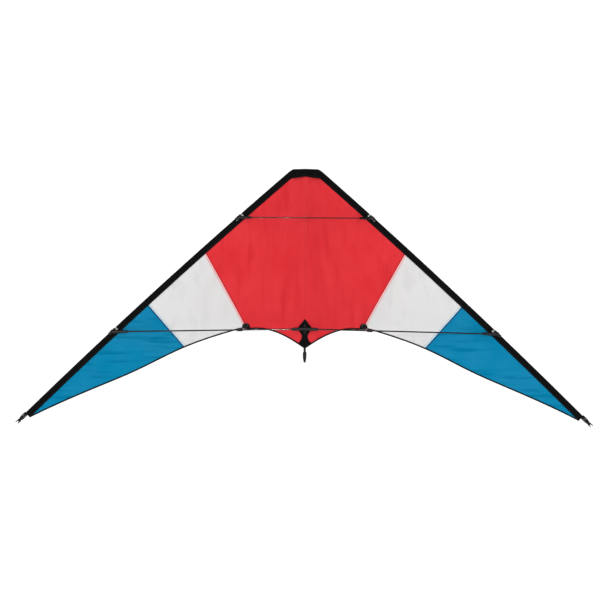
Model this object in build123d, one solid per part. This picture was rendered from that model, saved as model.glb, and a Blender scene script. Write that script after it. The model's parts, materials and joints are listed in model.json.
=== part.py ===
from build123d import *
from math import atan2, cos, degrees, hypot, radians, sin, sqrt, tan
import os

# A dual-line delta kite, upright, nose to +Z, span along X, flyer's side towards -Y.
# The origin is on the spine's axis, level with the centre fitting. Millimetres.
# The right half is built and mirrored to the left.

# Frame: the leading edge rod's axis runs from NOSE to TIP and bows outwards between them.
NOSE_X = 38.0
NOSE_Z = 457.0
TIP_X = 801.0
TIP_Z = -248.5
EDGE_BOW = 8.0
SAIL_Y = -3.6              # the sail's middle at the spine and at the leading edges
SPREADER_Y = -10.0         # both spreaders' axes, in front of the sail
UPPER_SPREADER_Z = 320.0
LOWER_CONNECTOR_Z = -11.0  # the lower spreaders drop this far on the way out
UPPER_CONNECTOR_Z = 320.0
NOSE_TOP_Z = 461.0
SPINE_TOP_Z = 450.0
TAIL_APEX_Z = -57.0        # lowest point of the sail, at the spine
SPINE_BOTTOM_Z = -86.0

# Rods and their fits
ROD_R = 2.0
THIN_ROD_R = 1.5
FIT = 0.05                 # radial clearance of a rod in a fitting
GAP = 0.3                  # clearance between sewn or bonded neighbours
FERRULE_R = 2.8
FERRULE_LENGTH = 60.0
FERRULE_Z = 120.0
NOSE_END_Z = 452.0         # where the leading edge rods end inside the nose webbing

# Fabric, as closed layers much thicker than the cloth itself
CLOTH = 0.4
PATCH = 0.8
PATCH_GAP = 0.2
HEM_HEIGHT = 4.0
HEM_THICKNESS = 1.0
HEM_START = 4.0            # the hem's end beside the spine
SEAM_GAP = 0.1             # each side of a seam
CENTRE_GAP = 0.4           # between the spine's middle plane and each half sail
SAIL_TOP_Z = 438.5

# Billow: rays from the apex are straight, and the sail stands back between spine and edge.
BILLOW = 1.152
BILLOW_RISE = 1.3
BILLOW_FALL = 1.6
BILLOW_STEPS = 12
BILLOW_OVERRUN = 1.08      # the surface is made a little wider than the wing, then cut
LAYER_TOP_Z = 445.0
LAYER_BOTTOM_Z = -300.0
CUT_DEPTH = 150.0

# Leading edge sleeve
SLEEVE_R = 3.6
SLEEVE_BORE_R = 3.1
SLEEVE_WIDTH = 19.0
SLEEVE_BAND = 0.9          # thickness of the sewn band beside the rod
SLEEVE_FAIRING = 11.0
NOTCH_UP = 21.0            # cut-out, towards the nose from the connector
NOTCH_DOWN = 14.0
NOTCH_DEPTH = 10.5         # inwards from the rod's axis

# Leading edge connectors: (barrel radius, barrel length, arm root radius, arm tip radius, arm length)
UPPER_CONNECTOR = (4.6, 20.0, 5.0, 3.2, 36.0)
LOWER_CONNECTOR = (5.0, 24.0, 6.0, 3.6, 42.0)
ARM_TIP_LIP = 0.5
SOCKET_FLOOR = 10.0        # solid arm between the barrel's axis and the socket
CLIP_R = 3.7
CLIP_LENGTH = 5.0
CLIP_GAP = 0.4

# Centre fitting
T_ARM_R = 4.75
T_ARM_LENGTH = 37.5
T_BARREL_R = 4.5
T_BARREL_LENGTH = 26.0
T_WEB = 5.0                # half width of the solid middle
SPREADER_START = 6.0       # the lower spreaders' inner ends
SLOT_SIDE = 0.3            # clearance each side of a rod in a socket's open side

# Standoffs
STANDOFF_FOOT_X = 187.0
STANDOFF_X = 172.0
STANDOFF_TIP_Z = 4.0
STANDOFF_BARREL_R = 4.2
STANDOFF_BARREL_LENGTH = 16.0
STANDOFF_SOCKET_R = 3.4
STANDOFF_SOCKET_LENGTH = 15.0
STANDOFF_CAP_R = 3.6
STANDOFF_CAP_LENGTH = 12.0
STANDOFF_CAP_WALL = 2.5
STANDOFF_REACH_GAP = 0.9   # between the cap's end and the patch
PATCH_DISC_R = 11.5

# Spar ends
NOCK_START = 5.0           # beyond the sleeve's end
NOCK_LENGTH = 17.0
NOCK_R = 3.3
NOCK_SOCKET = 11.0
NOCK_SLOT = 2.4
NOCK_SLOT_DEPTH = 4.0
CORD_R = 1.4
CORD_SIDE = 5.0            # the cord's legs, from the rod's axis
KNOT_AT = 27.0
KNOT_R = 4.0
CORD_TAIL_AT = 38.0
CORD_TAIL_SPREAD = 4.0
CORD_START = 1.0           # beyond the sleeve's end
CORD_BEND_R = 4.0

# Spine fittings
SPINE_SLEEVE_BORE_R = 2.15
SPINE_SLEEVE_R = 2.75
SPINE_SLEEVE_END_Z = 15.0
SPINE_CAP_R = 3.0
SPINE_CAP_LENGTH = 12.0
TAIL_NOCK_TOP_Z = -64.0
TAIL_NOCK_SHOULDER_Z = -68.0
TAIL_NOCK_WAIST_Z = -82.0
TAIL_NOCK_TIP_Z = -97.0
TAIL_NOCK_R = 5.4
TAIL_NOCK_TIP_R = 2.8
TAIL_NOCK_ROUND = 1.5
TAIL_CORD_R = 0.8

# Nose webbing: a strip folded over the top, open below
WEBBING = 1.2
WEBBING_FRONT_Y = -8.4
WEBBING_BACK_Y = 4.4
WEBBING_BACK_START = 7.0
WEBBING_SIDE_X = 51.0
WEBBING_SIDE_Z = 446.0
WEBBING_CORNER_X = 36.0
WEBBING_EDGE_X = 40.0
WEBBING_EDGE_Z = 433.5
WEBBING_MIDDLE_Z = 439.0

# Seams, as (x, z) at the sleeve and at the trailing edge
RED_WHITE = ((285.0, 213.0), (178.0, 15.0))
WHITE_BLUE = ((450.0, 65.0), (350.0, -56.0))

# Trailing edge, as (x, z) from the tail to the standoff and on to the tip
INNER_EDGE = ((0.0, TAIL_APEX_Z), (41.0, -31.0), (92.0, -8.5), (150.0, -2.0))
STANDOFF_EDGE = (188.0, -2.5)
OUTER_EDGE = ((267.0, -26.0), (350.0, -57.0), (489.0, -125.0), (600.0, -173.0), (690.0, -212.0))

# Centre reinforcement, as (x, z) round its right half
CENTRE_PATCH = ((0.0, 29.0), (19.0, 5.0), (19.0, -4.0), (8.0, -21.5), (21.0, -42.0), (0.0, -51.0))

# The bowed edge is an arc in the plane y = SAIL_Y.
CHORD = hypot(TIP_X - NOSE_X, TIP_Z - NOSE_Z)
EDGE_R = CHORD**2 / (8 * EDGE_BOW) + EDGE_BOW / 2
ALONG = ((TIP_X - NOSE_X) / CHORD, (TIP_Z - NOSE_Z) / CHORD)
ARC_X = (NOSE_X + TIP_X) / 2 + ALONG[1] * (EDGE_R - EDGE_BOW)
ARC_Z = (NOSE_Z + TIP_Z) / 2 - ALONG[0] * (EDGE_R - EDGE_BOW)
APEX_Z = NOSE_Z - NOSE_X * ALONG[1] / ALONG[0]
EDGE_ANGLE = atan2(TIP_X, APEX_Z - TIP_Z)


def edge_x(z, inwards=0.0):
    """x of the right leading edge's arc at height z, moved inwards by a distance."""
    return ARC_X + sqrt((EDGE_R - inwards) ** 2 - (z - ARC_Z) ** 2)


def edge_point(z, inwards=0.0):
    return Vector(edge_x(z, inwards), SAIL_Y, z)


def edge_plane(z):
    """At height z on the edge: local x points inwards across the wing, local z towards the tip."""
    point = edge_point(z)
    outwards = (point - Vector(ARC_X, SAIL_Y, ARC_Z)).normalized()
    along = Vector(outwards.Z, 0, -outwards.X)
    return Plane(origin=point, x_dir=-outwards, z_dir=along)


def edge_path(z_from, z_to):
    return ThreePointArc(edge_point(z_from), edge_point((z_from + z_to) / 2), edge_point(z_to))


def tube(start, end, radius):
    """A round bar from one point to another."""
    line = Line(start, end)
    return extrude(Plane(origin=line @ 0, z_dir=line % 0) * Circle(radius), amount=line.length)


def cone(start, end, radius_start, radius_end):
    line = Line(start, end)
    base = Plane(origin=line @ 0, z_dir=line % 0) * Circle(radius_start)
    top = Plane(origin=line @ 1, z_dir=line % 1) * Circle(radius_end)
    return loft([base.face(), top.face()])


def depth(x, z):
    """How far the sail stands behind SAIL_Y at (x, z)."""
    below = APEX_Z - z
    share = min(atan2(x, below) / EDGE_ANGLE, 1.0)
    return hypot(x, below) * BILLOW * share**BILLOW_RISE * (1 - share) ** BILLOW_FALL


def layer_section(z, front, thickness):
    """The billowed sail cut level at height z, as a thin closed face."""
    reach = (APEX_Z - z) * tan(EDGE_ANGLE)
    xs = [reach * BILLOW_OVERRUN * i / BILLOW_STEPS for i in range(BILLOW_STEPS + 1)]
    points = [Vector(x, SAIL_Y + front + depth(x, z), z) for x in xs]
    near = Edge.make_spline(points)
    far = near.moved(Location((0, thickness, 0)))
    sides = [Edge.make_line(near @ i, far @ i) for i in (0, 1)]
    return Face(Wire([near, sides[1], far, sides[0]]))


def layer(front, thickness):
    """A sheet of cloth over the whole right wing. front is measured from the sail's middle."""
    sections = [layer_section(z, front, thickness) for z in (LAYER_TOP_Z, LAYER_BOTTOM_Z)]
    return Solid.make_loft([s.outer_wire() for s in sections], ruled=True)


def outline(points):
    return Plane.XZ * make_face(Polyline(*points, close=True))


def cut_out(sheet, face):
    """The part of a sheet within an outline in the XZ plane."""
    return sheet & extrude(face, amount=CUT_DEPTH, both=True)


def wing_outline(raised):
    """The right half sail in the XZ plane, its trailing edge raised by a distance."""
    inwards = SLEEVE_WIDTH - SLEEVE_R + GAP
    top = (edge_x(SAIL_TOP_Z, inwards), SAIL_TOP_Z)
    corner = edge_plane(TIP_Z).from_local_coords(Vector(inwards, 0, 0))
    middle_z = (SAIL_TOP_Z + corner.Z) / 2
    middle = (edge_x(middle_z, inwards), middle_z)
    tip_z = corner.Z + raised
    tip = (edge_x(tip_z, inwards), tip_z)
    inner = [(x, z + raised) for x, z in INNER_EDGE]
    standoff = (STANDOFF_EDGE[0], STANDOFF_EDGE[1] + raised)
    outer = [standoff] + [(x, z + raised) for x, z in OUTER_EDGE] + [tip]
    edges = Curve() + [
        Spline(*inner),
        Line(inner[-1], standoff),
        Spline(*outer),
        ThreePointArc(tip, middle, top),
        Line(top, (0, SAIL_TOP_Z)),
        Line((0, SAIL_TOP_Z), inner[0]),
    ]
    return Plane.XZ * make_face(edges)


def beside(seam, side):
    """A large quadrilateral on one side of a seam, side -1 towards the spine and 1 towards the tip."""
    (x1, z1), (x2, z2) = seam
    far = 2 * TIP_X
    seam_line = Vector(x1 - x2, z1 - z2).normalized()
    across = Vector(seam_line.Y, -seam_line.X) * side
    middle = Vector(x2, z2) + across * SEAM_GAP
    ends = [middle + seam_line * far, middle - seam_line * far]
    corners = ends + [ends[1] + across * far, ends[0] + across * far]
    return outline([(c.X, c.Y) for c in corners])


def rectangle(x_low, x_high, z_low, z_high):
    return outline([(x_low, z_low), (x_high, z_low), (x_high, z_high), (x_low, z_high)])


def clear_of_spine(face):
    """Keeps a half's outline clear of the spine's middle plane and of the centre fitting."""
    middle = rectangle(-CUT_DEPTH, CENTRE_GAP, 2 * TIP_Z, 2 * NOSE_Z)
    height = T_BARREL_LENGTH / 2 + 2
    fitting = rectangle(-CUT_DEPTH, T_WEB + 2 * GAP, -height, height)
    return face - middle - fitting


def sail_panels():
    whole = clear_of_spine(wing_outline(HEM_HEIGHT + SEAM_GAP)) - Pos(0, 0, -GAP) * webbing_outline()
    cloth = layer(-CLOTH / 2, CLOTH)
    between = beside(RED_WHITE, 1) & beside(WHITE_BLUE, -1)
    return {
        "red_panel": cut_out(cloth, whole & beside(RED_WHITE, -1)),
        "white_panel": cut_out(cloth, whole & between),
        "blue_panel": cut_out(cloth, whole & beside(WHITE_BLUE, 1)),
    }


def trailing_edge_hem():
    band = wing_outline(0.0) - wing_outline(HEM_HEIGHT)
    band -= rectangle(-CUT_DEPTH, HEM_START, 2 * TIP_Z, 2 * NOSE_Z)
    return cut_out(layer(-HEM_THICKNESS / 2, HEM_THICKNESS), band)


def front_patch():
    return layer(-CLOTH / 2 - PATCH_GAP - PATCH, PATCH)


def centre_patch():
    inside = wing_outline(HEM_HEIGHT + SEAM_GAP)
    return cut_out(front_patch(), clear_of_spine(outline(CENTRE_PATCH)) & inside)


def standoff_patch():
    disc = Plane.XZ * Pos(STANDOFF_X, STANDOFF_TIP_Z) * Circle(PATCH_DISC_R)
    inside = wing_outline(HEM_HEIGHT + SEAM_GAP)
    return cut_out(front_patch(), disc & inside)


def leading_edge_rod(z_from, z_to):
    return sweep(edge_plane(z_from) * Circle(ROD_R), path=edge_path(z_from, z_to))


def along_edge(z, z_start, z_end, radius, bore):
    """A ring round the rod, between two distances from height z towards the tip."""
    plane = edge_plane(z).offset(z_start)
    return extrude(plane * (Circle(radius) - Circle(bore)), amount=z_end - z_start)


def leading_edge_sleeve():
    width = SLEEVE_WIDTH - SLEEVE_R
    fairing = Polyline(
        (0, SLEEVE_R),
        (SLEEVE_FAIRING, SLEEVE_BAND / 2),
        (SLEEVE_FAIRING, -SLEEVE_BAND / 2),
        (0, -SLEEVE_R),
        close=True,
    )
    band = Pos(width / 2, 0) * Rectangle(width, SLEEVE_BAND)
    section = make_face(fairing) + Circle(SLEEVE_R) + band - Circle(SLEEVE_BORE_R)
    top_z = NOSE_END_Z
    sleeve = sweep(edge_plane(top_z) * section, path=edge_path(top_z, TIP_Z))
    for z in (UPPER_CONNECTOR_Z, LOWER_CONNECTOR_Z):
        length = NOTCH_UP + NOTCH_DOWN
        across = NOTCH_DEPTH + 2 * SLEEVE_R
        shift = Pos(NOTCH_DEPTH - across / 2, 0, NOTCH_DOWN - length / 2)
        sleeve -= edge_plane(z) * shift * Box(across, 4 * SLEEVE_R, length)
    return sleeve


def lower_axis(x):
    """A point on the right lower spreader's axis."""
    drop = LOWER_CONNECTOR_Z / edge_x(LOWER_CONNECTOR_Z)
    return Vector(x, SPREADER_Y, drop * x)


def upper_axis(x):
    return Vector(x, SPREADER_Y, UPPER_SPREADER_Z)


def connector(z, axis, sizes, rod_r):
    """A leading edge fitting: a barrel on the rod and a tapered arm that holds a spreader."""
    barrel_r, barrel_length, root_r, tip_r, arm_length = sizes
    x = edge_x(z)
    arm = cone(axis(x), axis(x - arm_length), root_r, tip_r)
    lip = tube(axis(x - arm_length), axis(x - arm_length - 2), tip_r + ARM_TIP_LIP)
    root = Pos(*axis(x)) * Sphere(root_r)
    barrel = along_edge(z, -barrel_length / 2, barrel_length / 2, barrel_r, ROD_R + FIT)
    bore = tube(
        edge_plane(z).offset(-barrel_length).origin,
        edge_plane(z).offset(barrel_length).origin,
        ROD_R + FIT,
    )
    socket = tube(axis(x - SOCKET_FLOOR), axis(x - 2 * arm_length), rod_r + FIT)
    return arm + lip + root + barrel - bore - socket


def open_front(part, z, sizes, rod_r):
    """Opens a connector's socket towards the flyer, so that the spreader leaves it as the wing folds."""
    floor = edge_x(z) - SOCKET_FLOOR
    mouth = edge_x(z) - 2 * sizes[4]
    width = 2 * (rod_r + SLOT_SIDE)
    reach = 2 * sizes[2]
    slot = Pos((floor + mouth) / 2, SPREADER_Y - reach / 2, z) * Box(floor - mouth, reach, width)
    return part - slot


def centre_fitting():
    """A T on the spine. Its arms are open behind, where the lower spreaders leave as the wings fold."""
    web_depth = -SPREADER_Y
    web = Pos(0, -web_depth / 2, 0) * Box(2 * T_WEB, web_depth, 2 * T_ARM_R)
    fitting = Cylinder(T_BARREL_R, T_BARREL_LENGTH) + web
    arm = tube(lower_axis(0), lower_axis(T_ARM_LENGTH), T_ARM_R)
    floor_x = T_WEB + GAP
    socket = tube(lower_axis(floor_x), lower_axis(2 * T_ARM_LENGTH), ROD_R + FIT)
    turn = degrees(atan2(-LOWER_CONNECTOR_Z, edge_x(LOWER_CONNECTOR_Z)))
    slot = Pos(0, T_ARM_R, 0) * Box(T_ARM_LENGTH, 2 * T_ARM_R, 2 * (ROD_R + SLOT_SIDE))
    slot = Pos(*lower_axis(floor_x + T_ARM_LENGTH / 2)) * Rot(0, turn, 0) * slot
    arms = arm + mirror(arm, about=Plane.YZ)
    rooms = [socket, slot, mirror(socket, about=Plane.YZ), mirror(slot, about=Plane.YZ)]
    spine = Cylinder(ROD_R + FIT, 2 * T_BARREL_LENGTH)
    return fitting + arms - rooms - spine


def standoff():
    """The strut from the lower spreader back to the sail, as its three pieces."""
    foot = lower_axis(STANDOFF_FOOT_X)
    sail_y = SAIL_Y + depth(STANDOFF_X, STANDOFF_TIP_Z) - CLOTH / 2 - PATCH_GAP - PATCH
    tip = Vector(STANDOFF_X, sail_y - STANDOFF_REACH_GAP, STANDOFF_TIP_Z)
    back = (tip - foot).normalized()
    half = (lower_axis(1) - lower_axis(0)).normalized() * (STANDOFF_BARREL_LENGTH / 2)
    barrel = tube(foot - half, foot + half, STANDOFF_BARREL_R)
    socket_end = foot + back * STANDOFF_SOCKET_LENGTH
    rod_start = foot + back * (STANDOFF_BARREL_R + 1)
    rod_end = tip - back * STANDOFF_CAP_WALL
    cap_start = tip - back * STANDOFF_CAP_LENGTH
    fitting = barrel + tube(foot, socket_end, STANDOFF_SOCKET_R)
    fitting -= tube(foot - 2 * half, foot + 2 * half, ROD_R + FIT)
    fitting -= tube(rod_start, foot + back * (2 * STANDOFF_SOCKET_LENGTH), THIN_ROD_R + FIT)
    cap = tube(cap_start, tip, STANDOFF_CAP_R)
    cap -= tube(cap_start - back, rod_end + back * FIT, THIN_ROD_R + FIT)
    return {
        "standoff_fitting": fitting,
        "standoff_rod": tube(rod_start, rod_end, THIN_ROD_R),
        "standoff_end_cap": cap,
    }


def tip_nock():
    end = edge_plane(TIP_Z).offset(NOCK_START)
    nock = extrude(end * Circle(NOCK_R), amount=NOCK_LENGTH)
    nock -= extrude(end * Circle(ROD_R + FIT), amount=NOCK_SOCKET)
    slot = Pos(0, 0, NOCK_LENGTH) * Box(NOCK_SLOT, 4 * NOCK_R, 2 * NOCK_SLOT_DEPTH)
    return nock - end * slot


def tip_tension_cord():
    """Two legs of elastic cord beside the rod, tied behind the nock in a knot with two short tails."""
    place = edge_plane(TIP_Z)

    def at(x, y, z):
        return place.from_local_coords(Vector(x, y, z))

    knot = at(0, 0, KNOT_AT)
    cord = place.offset(KNOT_AT) * Sphere(KNOT_R)
    for sign in (-1, 1):
        start = at(sign * CORD_SIDE, 0, CORD_START)
        shoulder = at(sign * CORD_SIDE, 0, KNOT_AT - CORD_SIDE)
        leg = FilletPolyline(start, shoulder, knot, radius=CORD_BEND_R)
        section = Plane(origin=start, z_dir=place.z_dir) * Circle(CORD_R)
        cord += sweep(section, path=leg)
        cord += tube(knot, at(sign * CORD_TAIL_SPREAD, 0, CORD_TAIL_AT), CORD_R)
    return cord


def tail_nock():
    """A blunt dart on the spine's end: a short shoulder, a barrel, then a taper with a rounded tip."""
    shoulder = cone((0, 0, TAIL_NOCK_TOP_Z), (0, 0, TAIL_NOCK_SHOULDER_Z), ROD_R + 1, TAIL_NOCK_R)
    barrel = tube((0, 0, TAIL_NOCK_SHOULDER_Z), (0, 0, TAIL_NOCK_WAIST_Z), TAIL_NOCK_R)
    taper = cone((0, 0, TAIL_NOCK_WAIST_Z), (0, 0, TAIL_NOCK_TIP_Z), TAIL_NOCK_R, TAIL_NOCK_TIP_R)
    taper = fillet(taper.edges().sort_by(Axis.Z)[0], TAIL_NOCK_ROUND)
    socket = tube((0, 0, 0), (0, 0, SPINE_BOTTOM_Z - FIT), ROD_R + FIT)
    return shoulder + barrel + taper - socket


def tail_tension_cord():
    """A ring of elastic round the spine, between the sail's hem and the tail nock."""
    ring_r = ROD_R + TAIL_CORD_R + FIT
    ring_z = TAIL_NOCK_TOP_Z + TAIL_CORD_R + FIT
    return Pos(0, 0, ring_z) * Torus(ring_r, TAIL_CORD_R)


def webbing_outline():
    corners = [
        (CENTRE_GAP, NOSE_TOP_Z),
        (WEBBING_CORNER_X, NOSE_TOP_Z - WEBBING),
        (WEBBING_SIDE_X, WEBBING_SIDE_Z),
        (WEBBING_EDGE_X, WEBBING_EDGE_Z),
        (CENTRE_GAP, WEBBING_MIDDLE_Z),
    ]
    return outline(corners)


def nose_webbing():
    """Front and back layers joined by the fold on top. The back layer leaves the spine room to turn."""
    thickness = WEBBING_BACK_Y - WEBBING_FRONT_Y
    whole = Pos(0, WEBBING_BACK_Y, 0) * extrude(webbing_outline(), amount=thickness)
    below = (Align.CENTER, Align.CENTER, Align.MAX)
    middle_y = (WEBBING_FRONT_Y + WEBBING_BACK_Y) / 2
    pocket = Box(4 * WEBBING_SIDE_X, thickness - 2 * WEBBING, NOSE_TOP_Z, align=below)
    pocket = Pos(0, middle_y, NOSE_TOP_Z - 2 * WEBBING) * pocket
    behind = (Align.CENTER, Align.MIN, Align.CENTER)
    spine_room = Box(2 * WEBBING_BACK_START, thickness, 4 * NOSE_TOP_Z, align=behind)
    return whole - pocket - Pos(0, WEBBING_FRONT_Y + WEBBING, 0) * spine_room


def spine_sleeve(z_from, z_to):
    ring = Circle(SPINE_SLEEVE_R) - Circle(SPINE_SLEEVE_BORE_R)
    return Pos(0, 0, z_from) * extrude(ring, amount=z_to - z_from)


def spine_nose_cap():
    top = SPINE_TOP_Z + WEBBING
    cap = tube((0, 0, top - SPINE_CAP_LENGTH), (0, 0, top), SPINE_CAP_R)
    return cap - tube((0, 0, 0), (0, 0, SPINE_TOP_Z + FIT), ROD_R + FIT)


def save(name, shape):
    export_step(shape, f"parts/{name}.step")


def save_both(name, shape):
    save(f"right_{name}", shape)
    save(f"left_{name}", mirror(shape, about=Plane.YZ))


def main():
    os.makedirs("parts", exist_ok=True)

    save("spine_rod", tube((0, 0, SPINE_BOTTOM_Z), (0, 0, SPINE_TOP_Z), ROD_R))
    save("spine_nose_cap", spine_nose_cap())
    save("spine_sleeve_upper", spine_sleeve(SPINE_SLEEVE_END_Z, SAIL_TOP_Z - SPINE_CAP_LENGTH))
    save("spine_sleeve_lower", spine_sleeve(TAIL_APEX_Z + HEM_HEIGHT, -SPINE_SLEEVE_END_Z))
    save("centre_fitting", centre_fitting())
    save("tail_nock", tail_nock())
    save("tail_tension_cord", tail_tension_cord())

    tip_end_z = edge_plane(TIP_Z).offset(NOCK_START + NOCK_SOCKET - FIT).origin.Z
    save_both("leading_edge_upper_rod", leading_edge_rod(NOSE_END_Z, FERRULE_Z + FIT))
    save_both("leading_edge_lower_rod", leading_edge_rod(FERRULE_Z - FIT, tip_end_z))
    half_ferrule = FERRULE_LENGTH / 2
    ferrule = along_edge(FERRULE_Z, -half_ferrule, half_ferrule, FERRULE_R, ROD_R + 2 * FIT)
    save_both("leading_edge_ferrule", ferrule)
    save_both("leading_edge_sleeve", leading_edge_sleeve())

    upper = connector(UPPER_CONNECTOR_Z, upper_axis, UPPER_CONNECTOR, THIN_ROD_R)
    save("left_upper_connector", mirror(upper, about=Plane.YZ))
    opened = open_front(upper, UPPER_CONNECTOR_Z, UPPER_CONNECTOR, THIN_ROD_R)
    save("right_upper_connector", opened)
    lower = connector(LOWER_CONNECTOR_Z, lower_axis, LOWER_CONNECTOR, ROD_R)
    save_both("lower_connector", lower)
    for name, z, sizes in (
        ("upper_stop_clip", UPPER_CONNECTOR_Z, UPPER_CONNECTOR),
        ("lower_stop_clip", LOWER_CONNECTOR_Z, LOWER_CONNECTOR),
    ):
        end = -sizes[1] / 2 - CLIP_GAP
        save_both(name, along_edge(z, end - CLIP_LENGTH, end, CLIP_R, ROD_R + FIT))

    upper_end = edge_x(UPPER_CONNECTOR_Z) - SOCKET_FLOOR - GAP
    save("upper_spreader", tube(upper_axis(-upper_end), upper_axis(upper_end), THIN_ROD_R))
    lower_end = edge_x(LOWER_CONNECTOR_Z) - SOCKET_FLOOR - GAP
    save_both("lower_spreader", tube(lower_axis(SPREADER_START), lower_axis(lower_end), ROD_R))

    for name, shape in {**sail_panels(), **standoff()}.items():
        save_both(name, shape)
    save_both("trailing_edge_hem", trailing_edge_hem())
    save_both("centre_patch", centre_patch())
    save_both("standoff_patch", standoff_patch())
    save_both("nose_webbing", nose_webbing())
    save_both("tip_nock", tip_nock())
    save_both("tip_tension_cord", tip_tension_cord())


main()
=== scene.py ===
import json
import math

import bmesh
import bpy
import numpy as np
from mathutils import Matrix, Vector, noise
from mathutils.geometry import delaunay_2d_cdt


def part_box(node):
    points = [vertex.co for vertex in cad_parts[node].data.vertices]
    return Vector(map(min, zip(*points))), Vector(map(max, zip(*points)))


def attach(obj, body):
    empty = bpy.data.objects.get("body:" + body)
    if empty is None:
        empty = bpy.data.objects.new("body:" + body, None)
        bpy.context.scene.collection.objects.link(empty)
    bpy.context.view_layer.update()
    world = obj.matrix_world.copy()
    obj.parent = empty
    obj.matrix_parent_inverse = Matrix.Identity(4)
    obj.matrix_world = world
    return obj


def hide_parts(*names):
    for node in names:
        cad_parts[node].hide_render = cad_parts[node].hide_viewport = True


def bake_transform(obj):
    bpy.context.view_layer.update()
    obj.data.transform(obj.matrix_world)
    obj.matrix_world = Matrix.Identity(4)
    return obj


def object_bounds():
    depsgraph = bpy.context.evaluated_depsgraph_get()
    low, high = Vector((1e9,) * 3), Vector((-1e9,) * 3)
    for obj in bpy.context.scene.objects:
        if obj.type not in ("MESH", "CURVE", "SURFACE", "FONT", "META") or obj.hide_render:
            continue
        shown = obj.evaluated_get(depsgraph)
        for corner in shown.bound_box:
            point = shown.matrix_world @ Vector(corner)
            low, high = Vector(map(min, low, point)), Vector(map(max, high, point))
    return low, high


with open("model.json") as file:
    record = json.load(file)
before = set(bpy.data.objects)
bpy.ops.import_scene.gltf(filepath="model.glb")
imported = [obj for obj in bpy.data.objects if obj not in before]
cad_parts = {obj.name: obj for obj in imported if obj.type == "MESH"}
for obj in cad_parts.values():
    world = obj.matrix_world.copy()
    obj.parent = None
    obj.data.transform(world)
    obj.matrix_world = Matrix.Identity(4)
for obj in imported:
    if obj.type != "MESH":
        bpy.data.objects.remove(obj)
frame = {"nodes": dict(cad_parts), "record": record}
cad_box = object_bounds()
NODES = frame["nodes"]
MM = 0.001
SIDES = {"right": 1.0, "left": -1.0}


# ---------------------------------------------------------------- what the frame says

def cad_points(*nodes):
    """Every vertex of some CAD nodes, as rows of x, y, z."""
    return np.array([v.co for n in nodes for v in NODES[n].data.vertices], float)


RING = 2.0 * MM                  # longest spread of one ring of a rod's vertices along the rod


def axis_points(points):
    """Points on a bent rod's axis, as rows of x, z: the middle of each ring of its vertices."""
    places = points[:, [0, 2]]
    start, end = places[np.argmax(places[:, 1])], places[np.argmin(places[:, 1])]
    along = (end - start) / np.linalg.norm(end - start)
    across = np.array([-along[1], along[0]])
    run, out = (places - start) @ along, (places - start) @ across
    order = np.argsort(run)
    rings = np.split(order, np.nonzero(np.diff(run[order]) > RING)[0] + 1)
    wide = [r for r in rings if np.ptp(out[r]) > RING]
    middles = [(run[r].mean(), (out[r].min() + out[r].max()) / 2) for r in wide]
    return np.array([start + along * far + across * aside for far, aside in middles])


def fit_arc(points):
    """(centre x, centre z, radius) of the circle nearest to some points, given as rows of x, z."""
    x, z = points.T
    mid_x, mid_z = x.mean(), z.mean()
    u, w = x - mid_x, z - mid_z
    a, b, c = np.linalg.lstsq(np.c_[u, w, np.ones_like(u)], -(u * u + w * w), rcond=None)[0]
    centre_u, centre_w = -a / 2, -b / 2
    radius = math.sqrt(centre_u**2 + centre_w**2 - c)
    return centre_u + mid_x, centre_w + mid_z, radius


def middle_y(node):
    low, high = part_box(node)
    return (low.y + high.y) / 2


EDGE_RODS = ["right_leading_edge_upper_rod", "right_leading_edge_lower_rod"]
ARC_X, ARC_Z, ARC_R = fit_arc(np.concatenate([axis_points(cad_points(rod)) for rod in EDGE_RODS]))
EDGE_Y = middle_y(EDGE_RODS[0])
SLEEVE_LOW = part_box("right_leading_edge_sleeve")[0]
NOSE_LOW, NOSE_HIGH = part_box("right_nose_webbing")
PANELS = ["red_panel", "white_panel", "blue_panel"]


def angle_at_height(z):
    """Where the leading edge's arc is at height z, as the angle of its outward direction from +Z."""
    return math.acos((z - ARC_Z) / ARC_R)


def edge_point(angle, inwards=0.0, y=0.0):
    """A point beside the right rod: inwards across the wing, and y behind the rod's axis."""
    reach = ARC_R - inwards
    return Vector((ARC_X + reach * math.sin(angle), EDGE_Y + y, ARC_Z + reach * math.cos(angle)))


def inwards_of(x, z):
    """How far a point on the right wing is inside the rod's axis."""
    return ARC_R - np.hypot(x - ARC_X, z - ARC_Z)


def cone_apex():
    """Height where a straight line through the leading edge's ends would meet the middle plane."""
    top, tip = NOSE_LOW.z, SLEEVE_LOW.z
    a, b = edge_point(angle_at_height(top)), edge_point(angle_at_height(tip))
    slope = (b.x - a.x) / (a.z - b.z)
    return a.z + a.x / slope


APEX_Z = cone_apex()
PROFILE_DEGREE = 9


def sail_profile():
    """The sail is a cone of straight rays from the apex. Its profile is read from the CAD panels."""
    points = cad_points(*[f"right_{p}" for p in PANELS])
    below = APEX_Z - points[:, 2]
    share = points[:, 0] / below
    height = (points[:, 1] - EDGE_Y) / below
    root = np.sqrt(np.clip(share, 0, None))
    return np.polynomial.Polynomial.fit(root, height, PROFILE_DEGREE), share.max()


PROFILE, PROFILE_END = sail_profile()
# how far inside the rod's axis the CAD sail starts
SAIL_START = float(inwards_of(*cad_points("right_white_panel")[:, [0, 2]].T).min())
TUCK_START = 5.0 * MM            # inside the sleeve, where the sail lies flat with the rod


# ---------------------------------------------------------------- the sail's surface

def wobble(*place):
    """Smooth noise at a place, from -1 to 1."""
    return noise.noise(Vector(place))


def fade(value, start, end):
    """0 before start, 1 after end, smooth between. end may be below start."""
    t = np.clip((value - start) / (end - start), 0, 1)
    return t * t * (3 - 2 * t)


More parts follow.
